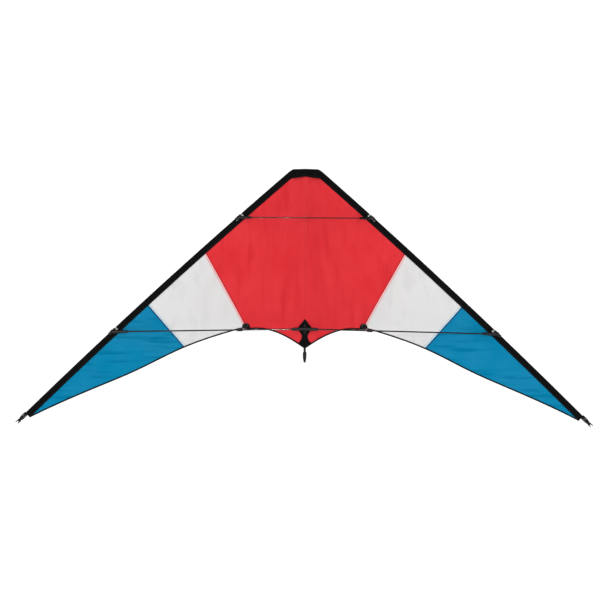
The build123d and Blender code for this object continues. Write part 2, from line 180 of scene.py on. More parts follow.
SPINE_FADE = (0.012, 0.06)       # from the spine, where ripples begin
EDGE_FADE = (0.016, 0.05)        # from the rod
RAY_RIPPLE = 1.5 * MM            # creases that run out from the nose
RAY_COUNT = 46
RAY_FADE = (0.05, 0.35)          # below the nose
EDGE_PUCKER = 1.0 * MM           # gathers beside the sleeve
PUCKER_PITCH = 41.0 * MM
PUCKER_AT = 30.0 * MM            # from the rod
PUCKER_SPREAD = 22.0 * MM
TIP_RIPPLE = 2.0 * MM            # a fan of creases at the tip
FAN_COUNT = 34
FAN_FADE = (0.33, 0.47)          # from the spine
TIP_CALM = (0.06, 0.30)          # from the tip
TIP_ABOVE = 12.0 * MM            # where the fan meets, above the sleeve's end
HEM_FLUTTER = 2.2 * MM           # long uneven waves
SOFT_RIPPLE = 0.9 * MM           # short ones
DRIFT_SCALE = 3.1                # how often each noise changes, per metre
FLUTTER_SCALE = (9.0, 5.0)
SOFT_SCALE = 22.0


def ripple(x, z, sign):
    """Small creases of a sail held by its edges, in metres behind the plain cone. x is the right side's."""
    below = APEX_Z - z
    inside = float(inwards_of(x, z))
    calm = float(fade(x, *SPINE_FADE) * fade(inside, *EDGE_FADE))
    drift = wobble(x * DRIFT_SCALE, z * DRIFT_SCALE, 7.0 * sign)
    rays = math.sin(math.atan2(x, below) * RAY_COUNT + 3 * drift + sign) * float(fade(below, *RAY_FADE))
    tip = edge_point(angle_at_height(SLEEVE_LOW.z + TIP_ABOVE))
    fan = math.sin(math.atan2(z - tip.z, tip.x - x) * FAN_COUNT + 5 * drift + 2 * sign)
    fan *= float(fade(x, *FAN_FADE) * fade(math.hypot(tip.x - x, z - tip.z), *TIP_CALM))
    pucker = math.sin(math.hypot(x, below) * 2 * math.pi / PUCKER_PITCH + 4 * drift)
    pucker *= math.exp(-((inside - PUCKER_AT) / PUCKER_SPREAD) ** 2)
    total = RAY_RIPPLE * rays + TIP_RIPPLE * fan + EDGE_PUCKER * pucker
    total += HEM_FLUTTER * wobble(x * FLUTTER_SCALE[0], z * FLUTTER_SCALE[1], 3.0 + sign)
    total += SOFT_RIPPLE * wobble(x * SOFT_SCALE, z * SOFT_SCALE, 5.0 + sign)
    return total * calm


def cone_y(x, z):
    """y of the plain cone of rays at (x, z)."""
    below = max(APEX_Z - z, 1e-4)
    share = min(max(x / below, 0.0), PROFILE_END)
    return EDGE_Y + below * float(PROFILE(math.sqrt(share)))


def sail_y(x, z, sign):
    """y of the cloth's middle at (x, z) on one side. x is the right side's."""
    inside = float(inwards_of(x, z))
    if inside >= SAIL_START:
        return cone_y(x, z) + ripple(x, z, sign)
    angle = math.atan2(x - ARC_X, z - ARC_Z)
    start = edge_point(angle, SAIL_START)
    tuck = float(fade(inside, TUCK_START, SAIL_START))
    return EDGE_Y + (cone_y(start.x, start.z) - EDGE_Y) * tuck


def sail_point(x, z, sign, behind=0.0):
    """A point on the cloth, or a little behind (+) or in front of (-) it along its normal."""
    step = 1.0 * MM
    y = sail_y(x, z, sign)
    if not behind:
        return Vector((x, y, z))
    slope_x = (sail_y(x + step, z, sign) - y) / step
    slope_z = (sail_y(x, z + step, sign) - y) / step
    normal = Vector((-slope_x, 1.0, -slope_z)).normalized()
    return Vector((x, y, z)) + normal * behind


# ---------------------------------------------------------------- mesh helpers

def link(mesh_name, verts, faces, uvs=None):
    """A new object from points and faces. uvs is one (u, v) for each point, in metres."""
    mesh = bpy.data.meshes.new(mesh_name)
    mesh.from_pydata([tuple(v) for v in verts], [], [tuple(f) for f in faces])
    if uvs is not None:
        layer = mesh.uv_layers.new(name="cloth")
        for loop in mesh.loops:
            layer.data[loop.index].uv = uvs[loop.vertex_index]
    for polygon in mesh.polygons:
        polygon.use_smooth = True
    mesh.validate()
    obj = bpy.data.objects.new(mesh_name, mesh)
    bpy.context.scene.collection.objects.link(obj)
    return obj


def angles_round(count, turns=1.0):
    """Even angles over some turns, as many as count, without the last."""
    return [2 * math.pi * turns * i / count for i in range(count)]


def sided(sign, verts, faces):
    """Mirrors right-hand geometry to the left when sign is -1."""
    if sign > 0:
        return verts, faces
    return [Vector((-v[0], v[1], v[2])) for v in verts], [tuple(reversed(f)) for f in faces]


def grid_faces(rows, columns, close_columns=False, close_rows=False):
    """Quads of a grid of points stored row by row."""
    faces = []
    for i in range(rows if close_rows else rows - 1):
        for j in range(columns if close_columns else columns - 1):
            a, b = i * columns + j, i * columns + (j + 1) % columns
            k = (i + 1) % rows
            c, d = k * columns + (j + 1) % columns, k * columns + j
            faces.append((a, b, c, d))
    return faces


WELD = 0.01 * MM                 # CAD vertices nearer than this are one


def outline_of(node):
    """A flat CAD node's outline seen from the front, as a closed run of (x, z)."""
    bm = bmesh.new()
    bm.from_mesh(NODES[node].data)
    bmesh.ops.remove_doubles(bm, verts=bm.verts, dist=WELD)
    bm.normal_update()
    front = {f for f in bm.faces if f.normal.y < -0.5}
    rim = [e for e in bm.edges if sum(f in front for f in e.link_faces) == 1]
    beside = {}
    for e in rim:
        for v in e.verts:
            beside.setdefault(v, []).append(e)
    loops, unused = [], dict.fromkeys(rim)
    while unused:
        edge = next(iter(unused))
        vertex, run = edge.verts[0], []
        while edge in unused:
            del unused[edge]
            run.append((vertex.co.x, vertex.co.z))
            vertex = edge.other_vert(vertex)
            nexts = [e for e in beside[vertex] if e in unused]
            edge = nexts[0] if nexts else edge
        loops.append(run)
    bm.free()
    longest = max(loops, key=lambda r: sum(math.dist(p, q) for p, q in zip(r, r[1:] + r[:1])))
    return np.array(longest)


CORNER = math.radians(24)


def corners_of(loop):
    """Which points of a closed run turn sharply."""
    before, after = loop - np.roll(loop, 1, axis=0), np.roll(loop, -1, axis=0) - loop
    turn = np.arctan2(before[:, 0] * after[:, 1] - before[:, 1] * after[:, 0], (before * after).sum(1))
    return [i for i, a in enumerate(turn) if abs(a) > CORNER]


def distances_along(points):
    """How far along an open run each of its points is."""
    steps = np.diff(np.asarray(points, float), axis=0)
    return np.r_[0, np.cumsum(np.linalg.norm(steps, axis=1))]


def run_length(points):
    return float(distances_along(points)[-1])


def resample(points, count):
    """An open run as count points at even spacing, both ends kept."""
    points = np.asarray(points, float)
    along = distances_along(points)
    at = np.linspace(0, along[-1], count)
    return np.stack([np.interp(at, along, column) for column in points.T], axis=1)


def spaced_run(points, spacing):
    """Points along an open run at about even spacing, both ends kept."""
    return resample(points, max(1, round(run_length(points) / spacing)) + 1)


def even_loop(loop, spacing):
    """A closed run with its corners kept and the rest evenly spaced."""
    corners = corners_of(loop) or [0]
    runs = []
    for a, b in zip(corners, corners[1:] + [corners[0] + len(loop)]):
        part = [loop[i % len(loop)] for i in range(a, b + 1)]
        runs.append(spaced_run(part, spacing)[:-1])
    return np.concatenate(runs)


def inside_mask(points, loop):
    """Which points lie inside a closed run."""
    inside = np.zeros(len(points), bool)
    nxt = np.roll(loop, -1, axis=0)
    for (x1, z1), (x2, z2) in zip(loop, nxt):
        crosses = (z1 > points[:, 1]) != (z2 > points[:, 1])
        with np.errstate(divide="ignore", invalid="ignore"):
            at = (x2 - x1) * (points[:, 1] - z1) / (z2 - z1) + x1
        inside ^= crosses & (points[:, 0] < at)
    return inside


def distance_to(points, loop):
    """Each point's distance from a closed run's own points."""
    return np.min([np.hypot(*(points - p).T) for p in loop], axis=0)


RIM_ROOM = 0.6                   # of the spacing, kept clear inside an outline's own points


def fill(loop, spacing):
    """(points, triangles) that fill an outline evenly."""
    rim = even_loop(loop, spacing)
    low, high = rim.min(0), rim.max(0)
    row = spacing * math.sqrt(3) / 2
    zs = np.arange(low[1], high[1], row)
    rows = []
    for i, z in enumerate(zs):
        xs = np.arange(low[0] + (i % 2) * spacing / 2, high[0], spacing)
        rows.append(np.c_[xs, np.full(len(xs), z)])
    inner = np.concatenate(rows)
    inner = inner[inside_mask(inner, rim)]
    inner = inner[distance_to(inner, rim) > RIM_ROOM * spacing]
    points = [Vector(p) for p in np.concatenate([rim, inner])]
    made = delaunay_2d_cdt(points, [], [list(range(len(rim)))], 1, 1e-7)
    return [(p.x, p.y) for p in made[0]], made[2]


def facing_front(points, faces):
    """Turns triangles so that their normals point towards the flyer."""
    turned = []
    for f in faces:
        (x1, z1), (x2, z2), (x3, z3) = (points[i] for i in f[:3])
        area = (x2 - x1) * (z3 - z1) - (x3 - x1) * (z2 - z1)
        turned.append(tuple(f) if area > 0 else tuple(reversed(f)))
    return turned


def thicken(obj, thickness):
    """Gives a sheet its thickness, half to each side."""
    modifier = obj.modifiers.new("thickness", "SOLIDIFY")
    modifier.thickness, modifier.offset = thickness, 0.0
    return obj


def tube_along(points, radius, sides, cap=True):
    """(verts, faces) of a round tube along points."""
    verts = []
    normal = (points[1] - points[0]).normalized().orthogonal().normalized()
    for i, p in enumerate(points):
        tangent = (points[min(i + 1, len(points) - 1)] - points[max(i - 1, 0)]).normalized()
        normal = (normal - tangent * normal.dot(tangent)).normalized()
        other = tangent.cross(normal)
        verts += [p + (normal * math.cos(a) + other * math.sin(a)) * radius for a in angles_round(sides)]
    faces = grid_faces(len(points), sides, close_columns=True)
    if cap:
        faces.append(tuple(reversed(range(sides))))
        faces.append(tuple(range(len(verts) - sides, len(verts))))
    return verts, faces


def merge(parts):
    """Several (verts, faces) as one."""
    verts, faces = [], []
    for v, f in parts:
        base = len(verts)
        verts += list(v)
        faces += [tuple(i + base for i in face) for face in f]
    return verts, faces


# ---------------------------------------------------------------- materials

def srgb(r, g, b):
    """A colour from its screen values, 0 to 255."""
    def linear(v):
        v /= 255
        return v / 12.92 if v <= 0.04045 else ((v + 0.055) / 1.055) ** 2.4
    return (linear(r), linear(g), linear(b), 1.0)


class Material:
    """A node material with short ways to add what repeats. A value is a number, a tuple or a socket."""

    def __init__(self, name, **sockets):
        self.made = bpy.data.materials.new(name)
        self.made.use_nodes = True
        self.tree = self.made.node_tree
        self.shader = self.tree.nodes["Principled BSDF"]
        for key, value in sockets.items():
            self.set(key.replace("_", " "), value)

    def put(self, socket, value):
        if isinstance(value, bpy.types.NodeSocket):
            self.tree.links.new(value, socket)
        else:
            socket.default_value = value

    def set(self, key, value):
        self.put(self.shader.inputs[key], value)

    def add(self, kind, output, inputs, **settings):
        """One output of a new node with its inputs set or joined."""
        made = self.tree.nodes.new(kind)
        for key, value in settings.items():
            setattr(made, key, value)
        for key, value in inputs.items():
            self.put(made.inputs[key], value)
        return made.outputs[output]

    def place(self, source, scale=(1, 1, 1), turn=0.0):
        """Texture coordinates: UV or Object, scaled and turned about Z."""
        coords = self.add("ShaderNodeTexCoord", source, {})
        inputs = {"Vector": coords, "Scale": scale, "Rotation": (0, 0, turn)}
        return self.add("ShaderNodeMapping", "Vector", inputs)

    def noise(self, vector, scale, detail=3.0, rough=0.5):
        inputs = {"Vector": vector, "Scale": scale, "Detail": detail, "Roughness": rough}
        return self.add("ShaderNodeTexNoise", "Fac", inputs)

    def wave(self, vector, scale, direction="X", distortion=0.0):
        inputs = {"Vector": vector, "Scale": scale, "Distortion": distortion}
        return self.add("ShaderNodeTexWave", "Fac", inputs, bands_direction=direction)

    def ramp(self, value, low, high, out_low=0.0, out_high=1.0):
        inputs = {"Value": value, "From Min": low, "From Max": high, "To Min": out_low, "To Max": out_high}
        return self.add("ShaderNodeMapRange", "Result", inputs)

    def math(self, operation, a, b):
        return self.add("ShaderNodeMath", 0, {0: a, 1: b}, operation=operation)

    def mix(self, factor, a, b):
        """A mix of two colours: inputs 6 and 7 and output 2 are the node's colour sockets."""
        return self.add("ShaderNodeMix", 2, {0: factor, 6: a, 7: b}, data_type="RGBA")

    def tone(self, value, colour, dark, light, low=0.3, high=0.7):
        """A colour that goes from darker to lighter as a value goes from low to high."""
        return self.mix(self.ramp(value, low, high), darker(colour, dark), lighter(colour, light))

    def bump(self, height, strength, distance, **under):
        inputs = {"Height": height, "Strength": strength, "Distance": distance, **under}
        return self.add("ShaderNodeBump", "Normal", inputs)


def darker(colour, share):
    return tuple(c * share for c in colour[:3]) + (1.0,)


def lighter(colour, share):
    return tuple(c + (1 - c) * share for c in colour[:3]) + (1.0,)


RIPSTOP_PITCH = 5.0 * MM
WEAVE_SCALE = 0.5 / (0.45 * MM)  # of a wave texture, for threads this far apart


def ripstop(name, colour, turn, mottle=0.06, painted_crease_shade=0.06, gloss=0.06, folds=(7, 70, 1)):
    """Thin woven nylon: a fine weave, a raised square grid, soft mottling, and faint creases with painted
    shade along them.
    """
    m = Material(name, Specular_IOR_Level=gloss)
    cloth = m.place("UV", turn=turn)
    lines = m.add("ShaderNodeTexBrick", "Fac", {
        "Vector": cloth, "Scale": 1.0, "Mortar Size": 0.35 * MM, "Mortar Smooth": 0.4,
        "Brick Width": RIPSTOP_PITCH, "Row Height": RIPSTOP_PITCH}, offset=0.0, squash=1.0)
    warp = m.wave(cloth, WEAVE_SCALE, "X")
    weft = m.wave(cloth, WEAVE_SCALE, "Y")
    weave = m.math("MULTIPLY", warp, weft)
    cloud = m.noise(cloth, 9.0, 4.0, 0.55)
    crease = m.noise(m.place("UV", scale=folds, turn=0.25 * turn), 1.0, 3.0)
    base = m.tone(cloud, colour, 1 - mottle, mottle * 0.2)
    # painted shade: the crease noise darkens the colour along the creases, as shade would fall in them
    base = m.mix(m.ramp(crease, 0.52, 0.68), base, darker(colour, 1 - 2 * painted_crease_shade))
    base = m.mix(m.math("MULTIPLY", lines, 0.22), base, darker(colour, 0.72))
    m.set("Base Color", m.mix(m.ramp(weave, 0.0, 1.0, 0.0, 0.10), base, darker(colour, 0.85)))
    m.set("Roughness", m.ramp(cloud, 0.25, 0.75, 0.44, 0.60))
    fine = m.bump(weave, 0.12, 0.05 * MM)
    ridged = m.bump(lines, 0.35, 0.12 * MM, Normal=fine)
    m.set("Normal", m.bump(crease, 0.22, 0.8 * MM, Normal=ridged))
    return m.made


def dacron(name, colour, ribs=0.9 * MM):
    """Heavy woven polyester, with a little dust."""
    m = Material(name, Sheen_Weight=0.01, Sheen_Roughness=0.4, Specular_IOR_Level=0.035)
    cloth = m.place("UV")
    warp = m.wave(cloth, 0.5 / ribs, "X", 0.6)
    weft = m.wave(cloth, 0.5 / ribs, "Y", 0.6)
    weave = m.math("MAXIMUM", warp, weft)
    cloud = m.noise(cloth, 35.0, 4.0, 0.6)
    dust = m.noise(cloth, 240.0, 2.0, 0.7)
    base = m.tone(cloud, colour, 0.75, 0.002)
    base = m.mix(m.ramp(dust, 0.62, 0.80, 0.0, 0.06), base, (0.06, 0.06, 0.06, 1))
    m.set("Base Color", base)
    m.set("Roughness", m.ramp(cloud, 0.3, 0.7, 0.54, 0.74))
    m.set("Normal", m.bump(cloud, 0.15, 0.6 * MM, Normal=m.bump(weave, 0.5, 0.12 * MM)))
    return m.made


def webbing(name, colour):
    """Thick nylon webbing with a herringbone of ribs, and painted shade in the grooves between them."""
    m = Material(name, Sheen_Weight=0.01, Sheen_Roughness=0.4, Roughness=0.7, Specular_IOR_Level=0.035)
    cloth = m.place("UV")
    zigzag = m.wave(cloth, 0.5 / (1.6 * MM), "DIAGONAL", 2.0)
    rib = m.wave(cloth, 0.5 / (1.1 * MM), "X")
    height = m.math("ADD", zigzag, rib)
    cloud = m.noise(cloth, 60.0, 3.0)
    # painted shade: the colour is darker where the ribs are low, as shade in the grooves
    base = m.tone(height, colour, 0.55, 0.004, high=1.7)
    m.set("Base Color", m.mix(m.ramp(cloud, 0.35, 0.75, 0.0, 0.25), base, darker(colour, 0.5)))
    m.set("Normal", m.bump(height, 0.6, 0.3 * MM))
    return m.made


def pultruded(name, colour):
    """Glossy black fibreglass rod: long fibres under a clear skin, with small scuffs."""
    m = Material(name, Coat_Weight=0.15, Coat_Roughness=0.05, Specular_IOR_Level=0.25)
    fibres = m.noise(m.place("Object", scale=(8, 900, 900)), 1.0, 2.0)
    scuffs = m.noise(m.place("Object", scale=(300, 300, 300)), 1.0, 4.0, 0.65)
    base = m.tone(fibres, colour, 0.6, 0.004)
    m.set("Base Color", m.mix(m.ramp(scuffs, 0.66, 0.80, 0.0, 0.10), base, (0.1, 0.1, 0.1, 1)))
    m.set("Roughness", m.ramp(scuffs, 0.4, 0.75, 0.06, 0.13))
    m.set("Normal", m.bump(fibres, 0.15, 0.03 * MM))
    return m.made


def moulded(name, colour, rough=0.3, wear=0.1):
    """Injection moulded plastic: a fine spark-eroded grain, rubbed lighter in places."""
    m = Material(name, Specular_IOR_Level=0.18)
    grain = m.noise(m.place("Object", scale=(1800, 1800, 1800)), 1.0, 2.0)
    cloud = m.noise(m.place("Object", scale=(90, 90, 90)), 1.0, 4.0, 0.6)
    base = m.tone(cloud, colour, 0.8, 0.004)
    m.set("Base Color", m.mix(m.ramp(cloud, 0.6, 0.8, 0.0, wear), base, lighter(colour, 0.03)))
    m.set("Roughness", m.ramp(cloud, 0.3, 0.7, rough - 0.08, rough + 0.15))
    m.set("Normal", m.bump(cloud, 0.05, 0.2 * MM, Normal=m.bump(grain, 0.12, 0.03 * MM)))
    return m.made


def braid(name, colour, fleck):
    """Braided elastic: crossed diagonal strands with painted shade between them, and light tracer flecks.
    """
    m = Material(name, Roughness=0.75, Specular_IOR_Level=0.05)
    cloth = m.place("UV")
    one = m.wave(m.place("UV", turn=0.8), 0.5 / (0.7 * MM), "X")
    two = m.wave(m.place("UV", turn=-0.8), 0.5 / (0.7 * MM), "X")
    height = m.math("MAXIMUM", one, two)
    cloud = m.noise(cloth, 700.0, 2.0)
    # painted shade: the colour is darker where the strands are low, as shade between them
    base = m.tone(height, colour, 0.45, 0.03, low=0.2, high=0.9)
    m.set("Base Color", m.mix(m.ramp(cloud, 0.63, 0.7, 0.0, 0.5), base, fleck))
    m.set("Normal", m.bump(height, 0.8, 0.25 * MM))
    return m.made


def thread(name, colour):
    m = Material(name, Sheen_Weight=0.05, Roughness=0.6, Specular_IOR_Level=0.2)
    twist = m.wave(m.place("Object", scale=(1, 1, 1), turn=0.7), 0.5 / (0.35 * MM), "DIAGONAL")
    # painted shade: the colour is darker in the grooves of the twist, as shade between the plies
    m.set("Base Color", m.mix(m.ramp(twist, 0.2, 0.8), darker(colour, 0.7), colour))
    m.set("Normal", m.bump(twist, 0.5, 0.1 * MM))
    return m.made


def brushed_brass(name):
    m = Material(name, Metallic=1.0)
    scratches = m.noise(m.place("Object", scale=(40, 900, 900)), 1.0, 3.0)
    m.set("Base Color", m.mix(scratches, (0.62, 0.46, 0.2, 1), (0.85, 0.7, 0.42, 1)))
    m.set("Roughness", m.ramp(scratches, 0.3, 0.7, 0.25, 0.45))
    return m.made


RED = srgb(227, 47, 55)
WHITE = srgb(226, 226, 226)
BLUE = srgb(0, 131, 175)
BLACK = (0.005, 0.005, 0.0055, 1)
BLACK_CLOTH = (0.003, 0.003, 0.0033, 1)

LOOKS = {
    "red_ripstop": ripstop("red ripstop", RED, 0.35, painted_crease_shade=0.05, folds=(38, 5, 1)),
    "white_ripstop": ripstop("white ripstop", WHITE, 0.75, mottle=0.04, painted_crease_shade=0.04, folds=(30, 12, 1)),
    "blue_ripstop": ripstop("blue ripstop", BLUE, 0.55, painted_crease_shade=0.12, gloss=0.015),
    "sleeve_cloth": dacron("black sleeve", BLACK_CLOTH),
    "patch_cloth": dacron("black patch", BLACK_CLOTH, ribs=0.7 * MM),
    "hem_tape": dacron("black hem", BLACK, ribs=0.5 * MM),
    "nose_webbing": webbing("nose webbing", (0.003, 0.0028, 0.0028, 1)),
    "fibreglass_rod": pultruded("black rod", BLACK),
    "moulded_fitting": moulded("black moulding", (0.006, 0.006, 0.0065, 1)),
    "grey_clip": moulded("grey clip", srgb(176, 172, 162), rough=0.4),
    "nock_plastic": moulded("nock plastic", (0.004, 0.004, 0.004, 1), rough=0.35),
    "vinyl_cap": moulded("vinyl cap", (0.006, 0.006, 0.006, 1), wear=0.15),
    "elastic_cord": braid("elastic cord", (0.003, 0.003, 0.003, 1), (0.02, 0.008, 0.008, 1)),
    "ferrule_brass": brushed_brass("brass ferrule"),
}
PINK_SEAM = ripstop("red under white", srgb(246, 196, 198), 0.35, mottle=0.06)
BLUE_SEAM = ripstop("blue under white", srgb(202, 226, 240), 0.35, mottle=0.06)
DARK_THREAD = thread("black thread", (0.02, 0.02, 0.021, 1))
RED_THREAD = thread("red thread", srgb(170, 20, 26))
GREY_THREAD = thread("grey thread", (0.03, 0.03, 0.031, 1))
# painted shade: the seams' folds are coloured darker than their panels, as shade along each seam
RED_FOLD = ripstop("red fold with painted shade", srgb(196, 24, 32), 0.35, mottle=0.06)
BLUE_FOLD = ripstop("blue fold with painted shade", srgb(0, 66, 112), 0.55, mottle=0.06)
BINDING = webbing("cut-out binding", (0.006, 0.006, 0.006, 1))
TAIL_CORD = braid("tail elastic", (0.03, 0.007, 0.008, 1), (0.12, 0.02, 0.02, 1))
GREY_RING = moulded("grey washer", srgb(62, 64, 63))


def paint(obj, material):
    obj.data.materials.clear()
    obj.data.materials.append(material)


def finish_with(obj, slot_name, material=None):
    """Gives a piece a material: the one given, or else the look of the record's slot that it stands for."""
    paint(obj, material or LOOKS[slot_name])
    return obj


NODE_SLOTS = {s["node"]: s["material_slot"] for s in frame["record"]["subparts"]}
for node_name, node_object in NODES.items():
    paint(node_object, LOOKS[NODE_SLOTS[node_name]])


def stands_for(obj, node, material=None):
    """Finishes a piece as the CAD node that it replaces."""
    finish_with(obj, NODE_SLOTS[node], material)
    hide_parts(node)
    return obj


# ---------------------------------------------------------------- sail panels

CLOTH_SPACING = 6.0 * MM
CLOTH_THICKNESS = 0.25 * MM


def crease(obj, side):
    """Cloth that meets the spine: its place is baked into its mesh, and it is not attached to a wing."""
    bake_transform(obj)


def mirrored_outline(side, name):
    """A node's outline with x made positive."""
    loop = outline_of(f"{side}_{name}")
    return loop * np.array([SIDES[side], 1.0])


PANEL_GAP = 0.6 * MM             # the CAD panels' spine edge is nearer to the middle than this


def reach_spine(loop):
    """Moves an outline's spine edge onto the middle plane, so that both halves meet."""
    loop = loop.copy()
    loop[loop[:, 0] < PANEL_GAP, 0] = 0.0
    return loop


HEM_STEP = 5.0 * MM
MID_WING = 0.3                   # where the hem's lower side is told from its upper side


def trailing_edge():
    """The sail's lower edge from the spine to the sleeve, on the right, read from the CAD hem."""
    loop = outline_of("right_trailing_edge_hem")
    first, last = np.argmin(loop[:, 0] + 0.5 * loop[:, 1]), np.argmax(loop[:, 0])
    rolled = np.roll(loop, -first, axis=0)
    at = (last - first) % len(loop)
    chains = rolled[: at + 1], np.concatenate([rolled[at:], rolled[:1]])[::-1]
    lower = min(chains, key=lambda c: np.interp(MID_WING, c[:, 0], c[:, 1]))
    lower = lower[lower[:, 0] > lower[0, 0] - WELD]
    slope = (lower[2, 1] - lower[0, 1]) / (lower[2, 0] - lower[0, 0])
    start = (0.0, lower[0, 1] - slope * lower[0, 0])
    return spaced_run(np.concatenate([[start], lower]), HEM_STEP)


TRAILING_EDGE = trailing_edge()


def meet_spine(loop, gap):
    """Carries the sides of an outline on to the middle plane, where the CAD stops at the spine's pocket."""
    loop = loop.copy()
    near = loop[:, 0] < gap
    for i in np.nonzero(near)[0]:
        for step in (1, -1):
            j = (i + step) % len(loop)
            if not near[j]:
                k = (j + step) % len(loop)
                slope = (loop[k, 1] - loop[j, 1]) / (loop[k, 0] - loop[j, 0])
                loop[i] = (0.0, loop[j, 1] - slope * loop[j, 0])
    loop[near, 0] = 0.0
    return loop


SEAM_ALLOWANCE = 2.6 * MM        # cloth that is hidden in the sleeve, the webbing and the hem
EDGE_NEAR = 1.0 * MM             # an outline's points this close to an edge are on it
HEM_REACH = 6.5 * MM             # CAD cloth that ends this close above the trailing edge runs into the hem


def reach_hem(loop):
    """Lowers the part of an outline that ends at the hem, so that the hem's tape holds it."""
    loop = loop.copy()
    edge_z = np.interp(loop[:, 0], TRAILING_EDGE[:, 0], TRAILING_EDGE[:, 1])
    near = (loop[:, 1] - edge_z < HEM_REACH) & (loop[:, 0] < TRAILING_EDGE[-1, 0])
    loop[near, 1] -= SEAM_ALLOWANCE
    return loop


TIP_NEAR = 24.0 * MM             # the blue cloth's end this close to the sail's tip
TIP_REACH = 9.0 * MM             # runs on between the hem and the sleeve


def reach_under(loop):
    """Lengthens a panel's edges so that they run under the webbing, the sleeve and the hem."""
    loop = reach_hem(loop)
    at_tip = np.hypot(*(loop - TRAILING_EDGE[-1]).T) < TIP_NEAR
    loop[at_tip] += (TRAILING_EDGE[-1] - TRAILING_EDGE[-2]) / HEM_STEP * TIP_REACH
    top = loop[:, 1] > NOSE_LOW.z - EDGE_NEAR
    loop[top, 1] += 2 * SEAM_ALLOWANCE
    inside = inwards_of(loop[:, 0], loop[:, 1])
    angle = np.arctan2(loop[:, 0] - ARC_X, loop[:, 1] - ARC_Z)
    edge = inside < SAIL_START + EDGE_NEAR
    reach = ARC_R - SAIL_START + SEAM_ALLOWANCE
    loop[edge, 0] = ARC_X + reach * np.sin(angle[edge])
    loop[edge, 1] = ARC_Z + reach * np.cos(angle[edge])
    return loop


def cloth_piece(name, side, loop, spacing, behind, thickness):
    """A piece of cloth that lies on the sail within an outline."""
    sign = SIDES[side]
    points, faces = fill(loop, spacing)
    faces = facing_front(points, faces)
    verts = [sail_point(x, z, sign, behind) for x, z in points]
    verts, faces = sided(sign, verts, faces)
    uvs = [(sign * x, z) for x, z in points]
    obj = link(name, verts, faces, uvs)
    return thicken(obj, thickness)


OUTLINES = {}
for side in SIDES:
    for panel in PANELS:
        outline = reach_spine(mirrored_outline(side, panel))
        OUTLINES[side, panel] = outline
        loop = reach_under(outline)
        obj = cloth_piece(f"{side}_{panel}_cloth", side, loop, CLOTH_SPACING, 0.0, CLOTH_THICKNESS)
        stands_for(obj, f"{side}_{panel}")
        if panel == "red_panel":
            crease(obj, side)
        else:
            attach(obj, f"{side}_wing")

# ---------------------------------------------------------------- sewn strips and stitches

THREAD_R = 0.2 * MM
STITCH_PITCH = 3.0 * MM
STITCH_SHARE = 0.78              # of the pitch that shows above the cloth
STITCH_CROWN = (0.22, 0.78)      # shares of a stitch between which it lies at its full height
STITCH_RISE = 1.3                # its top above the cloth, and its foot below, in thread radii
STITCH_SINK = 0.6


def wing_piece(obj, side):
    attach(obj, f"{side}_wing")


def stitch(start, end, out):
    """(verts, faces) of one stitch that dives into the cloth at both ends."""
    side = (end - start).cross(out).normalized() * THREAD_R
    sunk = out * (-STITCH_SINK * THREAD_R)
    verts = [start + sunk]
    for share in STITCH_CROWN:
        c = start.lerp(end, share)
        verts += [c + side, c + out * (STITCH_RISE * THREAD_R), c - side, c + sunk]
    verts.append(end + sunk)
    faces = [(0, 1 + j, 1 + (j + 1) % 4) for j in range(4)]
    faces += [(1 + j, 5 + j, 5 + (j + 1) % 4, 1 + (j + 1) % 4) for j in range(4)]
    faces += [(5 + j, 9, 5 + (j + 1) % 4) for j in range(4)]
    return verts, faces


def stitch_run(points, outs, pitch=STITCH_PITCH):
    """Stitches along a run of points, on the side that outs point to."""
    count = max(2, round(run_length(points) / pitch) + 1)
    at = [Vector(p) for p in resample(points, count)]
    along = distances_along(points)
    spots = np.linspace(0, along[-1], count)
    normals = np.stack([np.interp(spots, along, column) for column in np.asarray(outs, float).T], axis=1)
    parts = []
    for start, following, out in zip(at, at[1:], normals):
        end = start + (following - start) * STITCH_SHARE
        parts.append(stitch(start, end, Vector(out).normalized()))
    return merge(parts)


def sewn(name, side, parts, material, slot_name, place=wing_piece):
    """All the stitches of one piece, as one object."""
    verts, faces = merge(parts)
    verts, faces = sided(SIDES[side], verts, faces)
    obj = link(name, verts, faces)
    finish_with(obj, slot_name, material)
    place(obj, side)


def across_run(run):
    """Directions to the left of an open run in the XZ plane."""
    ahead = np.gradient(np.asarray(run, float), axis=0)
    ahead /= np.linalg.norm(ahead, axis=1)[:, None]
    return np.stack([-ahead[:, 1], ahead[:, 0]], axis=1)


def beside_run(run, distance):
    """A run moved to its own left, kept on its side of the spine."""
    moved = np.asarray(run, float) + across_run(run) * distance
    moved[:, 0] = np.maximum(moved[:, 0], 0.0)
    return moved


def on_sail(run, sign, behind):
    """(points, outward directions) of a run that lies on the cloth's front (-) or back (+)."""
    points = [sail_point(x, z, sign, behind) for x, z in run]
    under = [sail_point(x, z, sign) for x, z in run]
    return points, [(p - q).normalized() for p, q in zip(points, under)]


def tape(name, side, run, profile, thickness):
    """A strip laid along a run on the sail. profile is (to the left, behind the cloth's middle) pairs."""
    sign = SIDES[side]
    columns = [beside_run(run, across) for across, _ in profile]
    along, over = distances_along(run), distances_along(profile)
    verts, uvs = [], []
    for i in range(len(run)):
        for column, (_, behind), v in zip(columns, profile, over):
            verts.append(sail_point(*column[i], sign, behind))
            uvs.append((along[i], v))
    verts, faces = sided(sign, verts, grid_faces(len(run), len(profile)))
    obj = link(name, verts, faces, uvs)
    return thicken(obj, thickness)


def stitches_on_sail(side, run, distances, behinds):
    parts = []
    for distance in distances:
        for behind in behinds:
            parts.append(stitch_run(*on_sail(beside_run(run, distance), SIDES[side], behind)))
    return parts


# ---------------------------------------------------------------- seams between the panels

SEAM_STEP = 4.0 * MM
SHARED_CORNER = 1.5 * MM         # two panels' corners nearer than this are one
SEAM_LIFT = 0.28 * MM            # from the cloth's middle to the strip's
STRIP_THICKNESS = 0.16 * MM
STRIP_COLUMNS = 4
THREAD_LIFT = 1.4 * SEAM_LIFT
STITCH_IN_STRIP = 0.82           # where the rows of stitches run, as shares of a strip's width
STITCH_IN_FOLD = 0.5


